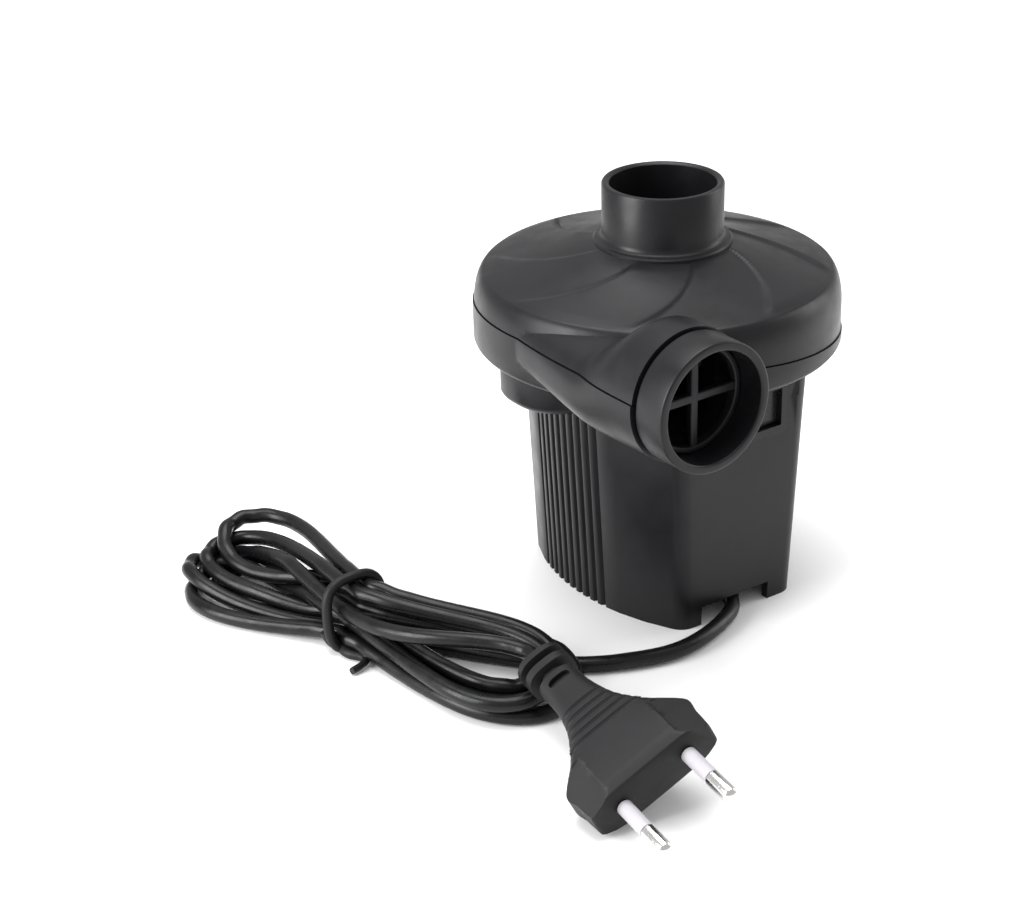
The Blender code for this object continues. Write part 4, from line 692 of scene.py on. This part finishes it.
# ---- plug ----------------------------------------------------------------------------------------
def smooth(pairs, t):
    """Smooth value through listed (place, value) pairs."""
    places = [place for place, _ in pairs]
    values = [value for _, value in pairs]
    slopes = np.gradient(values, places)
    k = min(max(int(np.searchsorted(places, t)) - 1, 0), len(pairs) - 2)
    wide = places[k + 1] - places[k]
    u = (t - places[k]) / wide
    return float((2 * u ** 3 - 3 * u * u + 1) * values[k] + (u ** 3 - 2 * u * u + u) * wide * slopes[k]
                 + (3 * u * u - 2 * u ** 3) * values[k + 1] + (u ** 3 - u * u) * wide * slopes[k + 1])


# half width, half thickness and squareness along the plug, from its face
PLUG_WIDE = [(0.0, 17.3), (6.0, 17.6), (11.4, 17.6), (12.6, 16.4), (15.0, 13.9), (18.0, 11.9), (21.0, 10.3),
             (26.0, 8.0), (32.0, 6.4), (38.0, 5.5), (45.0, 5.4), (60.0, 5.4)]
PLUG_HALF_T = 6.85
PLUG_THICK = [(0.0, 5.6), (3.2, 6.7), (5.0, PLUG_HALF_T), (13.0, PLUG_HALF_T), (20.0, 6.2), (30.0, 5.4),
              (45.0, 4.7), (60.0, 4.6)]
PLUG_POWER = [(0.0, 5.0), (14.0, 4.6), (30.0, 3.2), (45.0, 2.8), (60.0, 2.8)]
PAD_HALF, PAD_EDGE, PAD_STEP, SHOULDER_FALL, PAD_END = 10.2, 0.5, 0.7, 0.42, 14.5
GROOVE_FIRST, GROOVE_PITCH, GROOVE_COUNT, GROOVE_HALF, GROOVE_DEEP = 18.5, 2.8, 5, 0.8, 0.8
GROOVES = [GROOVE_FIRST + GROOVE_PITCH * k for k in range(GROOVE_COUNT)]
# the comb at the tail: its narrow gaps along the plug, where its ribs begin, and half sizes of both
COMB = [(44.4, 46.4), (49.4, 51.2)]
COMB_FROM = 46.0
COMB_RIB, COMB_CORE = (6.5, 5.2), (3.4, 3.2)
LIP, LIP_DEEP = 0.36, 0.5
TAIL_LIP = 0.6
SLOT_AT, SLOT_HALF = 40.8, (3.1, 1.35)
PIN_GAP, PIN_L, PIN_R, PIN_ROOT, PIN_CORE_R = 19.0, 19.0, 2.0, -7.7, 1.45
SLEEVE_L, SLEEVE_R, SLEEVE_BORE, PIN_HOLE_R = 10.3, 1.95, 1.6, 1.75


def shoulder(x, s):
    """Half thickness allowed at x: a flat pad in the middle and shoulders that fall away beside it."""
    past = abs(x) - PAD_HALF
    if past <= 0:
        return math.inf
    step = min(past / PAD_EDGE, 1.0)
    return PLUG_HALF_T - PAD_STEP * step - SHOULDER_FALL * past + max(0.0, s - PAD_END) * 2.5


def on_crease(x):
    """Moves a point that is close to an edge of the pad onto it, so that the edge runs straight."""
    for edge in (PAD_HALF, PAD_HALF + PAD_EDGE):
        if abs(abs(x) - edge) < PAD_EDGE / 2:
            return math.copysign(edge, x)
    return x


def plug_body():
    """Flat plug: raised pad between falling shoulders, grooved neck, slot and the comb at its tail."""
    rings = []
    extra = [0.15, 0.35, 0.7, 11.2, 11.6, 12.2]
    places = sorted({round(s, 2) for s in list(np.linspace(0, PLUG_L, 136)) + extra})
    for s in places:
        wide, thick, power = smooth(PLUG_WIDE, s), smooth(PLUG_THICK, s), smooth(PLUG_POWER, s)
        for groove in GROOVES:
            near = abs(s - groove)
            if near < GROOVE_HALF:
                press = GROOVE_DEEP * (0.5 + 0.5 * math.cos(math.pi * near / GROOVE_HALF))
                wide, thick = wide - 0.3 * press, thick - press
        if s > COMB_FROM:
            wide, thick = COMB_RIB
        for low, high in COMB:
            if low <= s <= high:
                wide, thick = COMB_CORE
        if s > PLUG_L - TAIL_LIP:
            wide, thick = wide - LIP_DEEP, thick - LIP_DEEP
        if s < LIP:
            draw = LIP_DEEP * (LIP - s) / LIP
            wide, thick = wide - draw, thick - draw
        ring = [(on_crease(x), y) for x, y in superellipse(wide, thick, power, 144)]
        ring = [(x, math.copysign(min(abs(y), shoulder(x, s)), y)) for x, y in ring]
        rings.append([Vector((x, y, -s)) * MM for x, y in ring])
    mesh = skin(rings)
    slot = []
    for z in (3.4, 9.0):
        slot.append([Vector((x, z, y - SLOT_AT)) * MM for x, y in superellipse(*SLOT_HALF, 3.0, 24)])
    upper = skin(slot)
    lower = upper.copy()
    lower.transform(Matrix.Scale(-1, 4, (0, 1, 0)))
    lower.flip_normals()
    holes = []
    for side in (-1, 1):
        hole = turned([(0, 1.0), (PIN_HOLE_R, 1.0), (PIN_HOLE_R, -8.0), (0, -8.0)], 32)
        hole.transform(Matrix.Translation((side * PIN_GAP / 2 * MM, 0, 0)))
        holes.append(("DIFFERENCE", hole))
    mesh = cut(mesh, ("DIFFERENCE", upper), ("DIFFERENCE", lower), *holes)
    body = piece("plug_shell", mesh, matrix=PLUG, angle=30)
    bevel(body, 0.15, 1, 55)
    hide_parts("plug_body")
    return body


def plug_pins():
    """Round pins with domed tips and their grey sleeves."""
    made = []
    for number, side in ((1, 1), (2, -1)):
        place = PLUG @ Matrix.Translation((side * PIN_GAP / 2 * MM, 0, 0))
        tip = [(0.0, PIN_L)] + [(PIN_R * math.sin(RIGHT * k / 6), PIN_L - 1.6 + 1.6 * math.cos(RIGHT * k / 6))
                                for k in range(1, 7)]
        stem = [(PIN_R, SLEEVE_L + 0.3), (PIN_CORE_R, SLEEVE_L + 0.3), (PIN_CORE_R, PIN_ROOT),
                (0.0, PIN_ROOT)]
        pin = piece(f"pin_metal_{number}", turned(tip + stem, 40), matrix=place)
        ring = rounded_profile([(SLEEVE_R, 0.3), (SLEEVE_BORE, 0.3), (SLEEVE_BORE, SLEEVE_L),
                                (SLEEVE_R, SLEEVE_L)], 0.15)
        sleeve = piece(f"pin_sheath_{number}", turned(ring, 40, closed=True), matrix=place)
        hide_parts(f"plug_pin_{number}")
        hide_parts(f"pin_sleeve_{number}")
        made += [pin, sleeve]
    return made


PLUG_SHELL = plug_body()
PINS = plug_pins()


# ---- tie -----------------------------------------------------------------------------------------
TIE_WIRE = 1.4


def tie():
    """Rubber-covered wire: a free end on the floor, then once round the hank."""
    near = CORD_LINE[(np.abs(CORD_LINE[:, 1] - TIE_Y) < 4.0) & (CORD_LINE[:, 0] < -70)]
    x0, x1 = near[:, 0].min() - CORD_D / 2, near[:, 0].max() + CORD_D / 2
    z1 = near[:, 2].max() + CORD_D / 2
    z0 = near[:, 2].min() - CORD_D / 2
    cx, cz = (x0 + x1) / 2, (z0 + z1) / 2
    half_x, half_z = (x1 - x0) / 2 + TIE_WIRE * 0.8, (z1 - z0) / 2 + TIE_WIRE * 0.8
    ring = []
    steps = 40
    for k in range(steps + 6):
        a = -2.1 - 2 * math.pi * k / steps
        c, s = math.cos(a), math.sin(a)
        x = cx + half_x * math.copysign(abs(c) ** 0.66, c)
        z = cz + half_z * math.copysign(abs(s) ** 0.66, s)
        ring.append((x, TIE_Y + 1.2 * math.sin(a) - 0.8 + 2.2 * k / steps, max(z, TIE_WIRE + 0.05)))
    tail = [(-100.5, 1.6, TIE_WIRE), (-96.0, 2.6, TIE_WIRE), (-93.0, 4.6, TIE_WIRE),
            (ring[0][0] - 1.0, 9.5, TIE_WIRE)]
    curve = bpy.data.curves.new("tie_route", "CURVE")
    curve.dimensions = "3D"
    curve.bevel_depth = TIE_WIRE * MM
    curve.bevel_resolution = 4
    curve.use_fill_caps = True
    curve.resolution_u = 4
    points = tail + ring
    spline = curve.splines.new("NURBS")
    spline.points.add(len(points) - 1)
    for knot, point in zip(spline.points, points):
        knot.co = (*at(*point), 1.0)
    for number in range(3):
        spline.points[number].radius = 0.7
    spline.order_u = 4
    spline.use_endpoint_u = True
    spline.use_smooth = True
    guide = bpy.data.objects.new("tie_guide", curve)
    PIECES.objects.link(guide)
    bpy.context.view_layer.update()
    graph = bpy.context.evaluated_depsgraph_get()
    mesh = bpy.data.meshes.new_from_object(guide.evaluated_get(graph))
    bpy.data.objects.remove(guide, do_unlink=True)
    obj = piece("tie_wire", welded(mesh))
    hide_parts("twist_tie")
    return obj


TIE = tie()


# ---- switch and small parts: edges rounded as shown ----------------------------------------------
for small, width in (("switch_bezel", 0.35), ("switch_rocker", 0.5), ("inlet_grille", 0.3),
                     ("bottom_cover", 0.3), ("strain_relief", 0.4), ("cord_clamp", 0.3),
                     ("brush_holder_1", 0.3), ("brush_holder_2", 0.3), ("noise_capacitor", 0.5)):
    bevel(NODES[small], width, 2, 50)


# ---- materials -----------------------------------------------------------------------------------
METAL_GLINT, PLASTIC_GLINT = 0.5, 0.25


class Shade:
    """A Principled material whose colour, gloss and relief come from noise."""

    def __init__(self, name, colour, roughness, metallic=0.0):
        self.material = bpy.data.materials.new(name)
        self.material.use_nodes = True
        self.tree = self.material.node_tree
        self.shader = self.tree.nodes["Principled BSDF"]
        self.shader.inputs["Metallic"].default_value = metallic
        self.shader.inputs["Specular IOR Level"].default_value = METAL_GLINT if metallic else PLASTIC_GLINT
        self.place = self.tree.nodes.new("ShaderNodeTexCoord").outputs["Object"]
        self.colour = colour
        self.roughness = roughness
        self.height = None

    def node(self, kind, **values):
        """A new shader node with its inputs or settings given by name."""
        made = self.tree.nodes.new(kind)
        for key, value in values.items():
            if key in made.inputs:
                made.inputs[key].default_value = value
            else:
                setattr(made, key, value)
        return made

    def noise(self, scale, detail=3.0, stretch=None):
        """Noise over the piece's own space."""
        made = self.node("ShaderNodeTexNoise", Scale=scale, Detail=detail, Roughness=0.55)
        source = self.place
        if stretch:
            mapping = self.node("ShaderNodeMapping", Scale=stretch)
            self.tree.links.new(self.place, mapping.inputs["Vector"])
            source = mapping.outputs["Vector"]
        self.tree.links.new(source, made.inputs["Vector"])
        return made.outputs["Fac"]

    def ranged(self, value, low, high):
        """Noise stretched to run between two values."""
        made = self.node("ShaderNodeMapRange")
        made.inputs["From Min"].default_value = 0.3
        made.inputs["From Max"].default_value = 0.7
        made.inputs["To Min"].default_value = low
        made.inputs["To Max"].default_value = high
        self.tree.links.new(value, made.inputs["Value"])
        return made.outputs["Result"]

    def vary_colour(self, value, spread, tint=(1.0, 1.0, 1.0)):
        """Runs the base colour from a little darker to a little lighter."""
        ramp = self.tree.nodes.new("ShaderNodeValToRGB")
        dark, light = ramp.color_ramp.elements
        dark.position = 0.3
        light.position = 0.72
        dark.color = (*(c * (1 - spread) for c in self.colour), 1.0)
        light.color = (*(min(1.0, c * (1 + spread) * t) for c, t in zip(self.colour, tint)), 1.0)
        self.tree.links.new(value, ramp.inputs["Fac"])
        self.tree.links.new(ramp.outputs["Color"], self.shader.inputs["Base Color"])

    def vary_gloss(self, value, spread):
        """Runs the roughness to both sides of its own value."""
        self.tree.links.new(self.ranged(value, self.roughness - spread, self.roughness + spread),
                            self.shader.inputs["Roughness"])

    def relief(self, value, depth):
        """Adds a bump on top of the ones before it."""
        bump = self.node("ShaderNodeBump", Distance=depth)
        bump.inputs["Strength"].default_value = 1.0
        self.tree.links.new(value, bump.inputs["Height"])
        if self.height:
            self.tree.links.new(self.height, bump.inputs["Normal"])
        self.height = bump.outputs["Normal"]
        self.tree.links.new(self.height, self.shader.inputs["Normal"])


def plastic(name, colour, roughness, grain=2600.0, depth=0.00002, wave=0.00012):
    """Moulded plastic: fine spark-eroded grain, faint flow waves, uneven gloss."""
    shade = Shade(name, colour, roughness)
    shade.vary_colour(shade.noise(38.0, 4.0), 0.14, (1.03, 1.0, 1.04))
    shade.vary_gloss(shade.noise(160.0, 5.0), 0.05)
    shade.relief(shade.noise(24.0, 1.0), wave)
    shade.relief(shade.noise(grain, 2.0), depth)
    return shade.material


def sheath(name, colour, roughness):
    """Cord sheath: semi-gloss PVC with slow ripples and small dull smears."""
    shade = Shade(name, colour, roughness)
    shade.vary_colour(shade.noise(60.0, 3.0), 0.2)
    shade.vary_gloss(shade.noise(240.0, 4.0), 0.08)
    shade.relief(shade.noise(180.0, 2.0), 0.00008)
    shade.relief(shade.noise(3200.0, 1.0), 0.00001)
    return shade.material


def metal(name, colour, roughness, stretch=(1.0, 1.0, 14.0)):
    """Brushed or turned metal."""
    shade = Shade(name, colour, roughness, 1.0)
    shade.vary_colour(shade.noise(90.0, 4.0), 0.1)
    shade.vary_gloss(shade.noise(500.0, 4.0, stretch), 0.08)
    shade.relief(shade.noise(900.0, 2.0, stretch), 0.00001)
    return shade.material


def layered(name, colour, roughness, pitch, metallic=1.0):
    """Laminations or windings: fine parallel lines with dark gaps."""
    shade = Shade(name, colour, roughness, metallic)
    wave = shade.node("ShaderNodeTexWave", Scale=pitch, Distortion=0.6, Detail=2.0)
    wave.bands_direction = "Z"
    shade.tree.links.new(shade.place, wave.inputs["Vector"])
    shade.vary_colour(wave.outputs["Fac"], 0.35)
    shade.vary_gloss(shade.noise(300.0), 0.08)
    shade.relief(wave.outputs["Fac"], 0.00012)
    return shade.material


def wear(obj, material):
    """Gives a piece or CAD node its finish."""
    obj.data.materials.clear()
    obj.data.materials.append(material)


SHELL = plastic("moulded_black", (0.0072, 0.0067, 0.0078), 0.36)
SHELL_DARK = plastic("moulded_black_inner", (0.010, 0.0095, 0.011), 0.5)
wear(COVER, SHELL)
wear(BASE, SHELL)
wear(RING, SHELL)
wear(CASING, plastic("casing_black", (0.0064, 0.0059, 0.0070), 0.36))
wear(GUARD, plastic("guard_black", (0.011, 0.0105, 0.012), 0.42))
wear(CORD, sheath("cord_pvc", (0.005, 0.005, 0.0056), 0.3))
wear(TIE, sheath("tie_rubber", (0.007, 0.007, 0.008), 0.5))
wear(PLUG_SHELL, plastic("plug_rubber_grain", (0.0100, 0.0098, 0.0104), 0.5, 1900.0, 0.00003))
CHROME = metal("pin_nickel", (0.78, 0.77, 0.75), 0.16)
SLEEVE = plastic("pin_sleeve_grey", (0.42, 0.41, 0.43), 0.4, 2200.0, 0.00001)
for pin in PINS:
    is_metal = pin.name.startswith("pin_metal")
    wear(pin, CHROME if is_metal else SLEEVE)

STEEL = metal("steel", (0.56, 0.56, 0.58), 0.3)
GROUPS = {
    SHELL_DARK: ("bottom_cover", "inlet_grille"),
    plastic("impeller_nylon", (0.62, 0.60, 0.54), 0.45): ("impeller",),
    plastic("fan_black", (0.02, 0.02, 0.022), 0.5): (
        "cooling_fan", "brush_holder_1", "brush_holder_2", "cord_clamp"),
    plastic("switch_black", (0.009, 0.009, 0.010), 0.28): ("switch_bezel",),
    plastic("rocker_black", (0.012, 0.012, 0.013), 0.24): ("switch_rocker",),
    sheath("relief_rubber", (0.010, 0.010, 0.011), 0.5): ("strain_relief",),
    plastic("capacitor_film", (0.50, 0.36, 0.05), 0.4): ("noise_capacitor",),
    layered("laminations", (0.33, 0.33, 0.35), 0.42, 320.0): ("stator_core", "armature_core"),
    layered("enamelled_wire", (0.62, 0.25, 0.09), 0.35, 260.0): (
        "field_coil_1", "field_coil_2", "armature_winding_upper", "armature_winding_lower"),
    metal("bar_copper", (0.72, 0.36, 0.2), 0.28): ("commutator",),
    metal("bronze", (0.55, 0.40, 0.20), 0.4): ("upper_bearing", "lower_bearing"),
    metal("brass", (0.72, 0.56, 0.26), 0.3): ("switch_terminal_1", "switch_terminal_2"),
    plastic("carbon", (0.03, 0.03, 0.032), 0.6): ("carbon_brush_1", "carbon_brush_2"),
    metal("pressed_plate", (0.5, 0.5, 0.51), 0.38, (14.0, 1.0, 1.0)): ("upper_bracket", "lower_bracket"),
}
finished = set()
for material, names in GROUPS.items():
    for name in names:
        wear(NODES[name], material)
        finished.add(name)
for name, node in NODES.items():
    if name not in finished:
        wear(node, STEEL)


# ---- floor and light -----------------------------------------------------------------------------
SKY = 0.62
# softboxes: name, place and size in metres, and power
SOFTBOXES = (("key_left", (-0.8, 0.15, 0.35), (0.4, 0.6), 9.5),
             ("fill_right", (0.8, -0.25, 0.35), (0.4, 0.6), 2.5),
             ("top", (0.0, 0.15, 1.1), (0.9, 0.9), 14.0))


def stage():
    """White floor under an even sky, with three softboxes."""
    mesh = bpy.data.meshes.new("floor")
    half = 3.0
    corners = [(-half, -half, 0), (half, -half, 0), (half, half, 0), (-half, half, 0)]
    mesh.from_pydata(corners, [], [(0, 1, 2, 3)])
    floor = bpy.data.objects.new("floor", mesh)
    bpy.context.scene.collection.objects.link(floor)
    paper = Shade("white_paper", (0.93, 0.93, 0.93), 0.9)
    paper.vary_colour(paper.noise(3.0), 0.01)
    mesh.materials.append(paper.material)
    world = bpy.data.worlds.new("studio")
    world.use_nodes = True
    bpy.context.scene.world = world
    sky = world.node_tree.nodes["Background"]
    sky.inputs["Color"].default_value = (1.0, 1.0, 1.0, 1.0)
    sky.inputs["Strength"].default_value = SKY
    for box in SOFTBOXES:
        softbox(*box)
    scene = bpy.context.scene
    scene.view_settings.view_transform = "Standard"
    scene.view_settings.look = "None"
    scene.view_settings.exposure = 0.0
    scene.view_settings.gamma = 1.0


def softbox(name, place, size, power):
    """An area light that looks at the pump."""
    data = bpy.data.lights.new(name, "AREA")
    data.shape = "RECTANGLE"
    data.size, data.size_y = size
    data.energy = power
    obj = bpy.data.objects.new(name, data)
    obj.location = place
    obj.rotation_euler = (Vector((0, 0, 0.06)) - Vector(place)).to_track_quat("-Z", "Y").to_euler()
    bpy.context.scene.collection.objects.link(obj)


stage()

# ---- frame ---------------------------------------------------------------------------------------
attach(CORD, "pump_body")
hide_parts("cord_lead", "cord_hank")

bpy.context.view_layer.update()
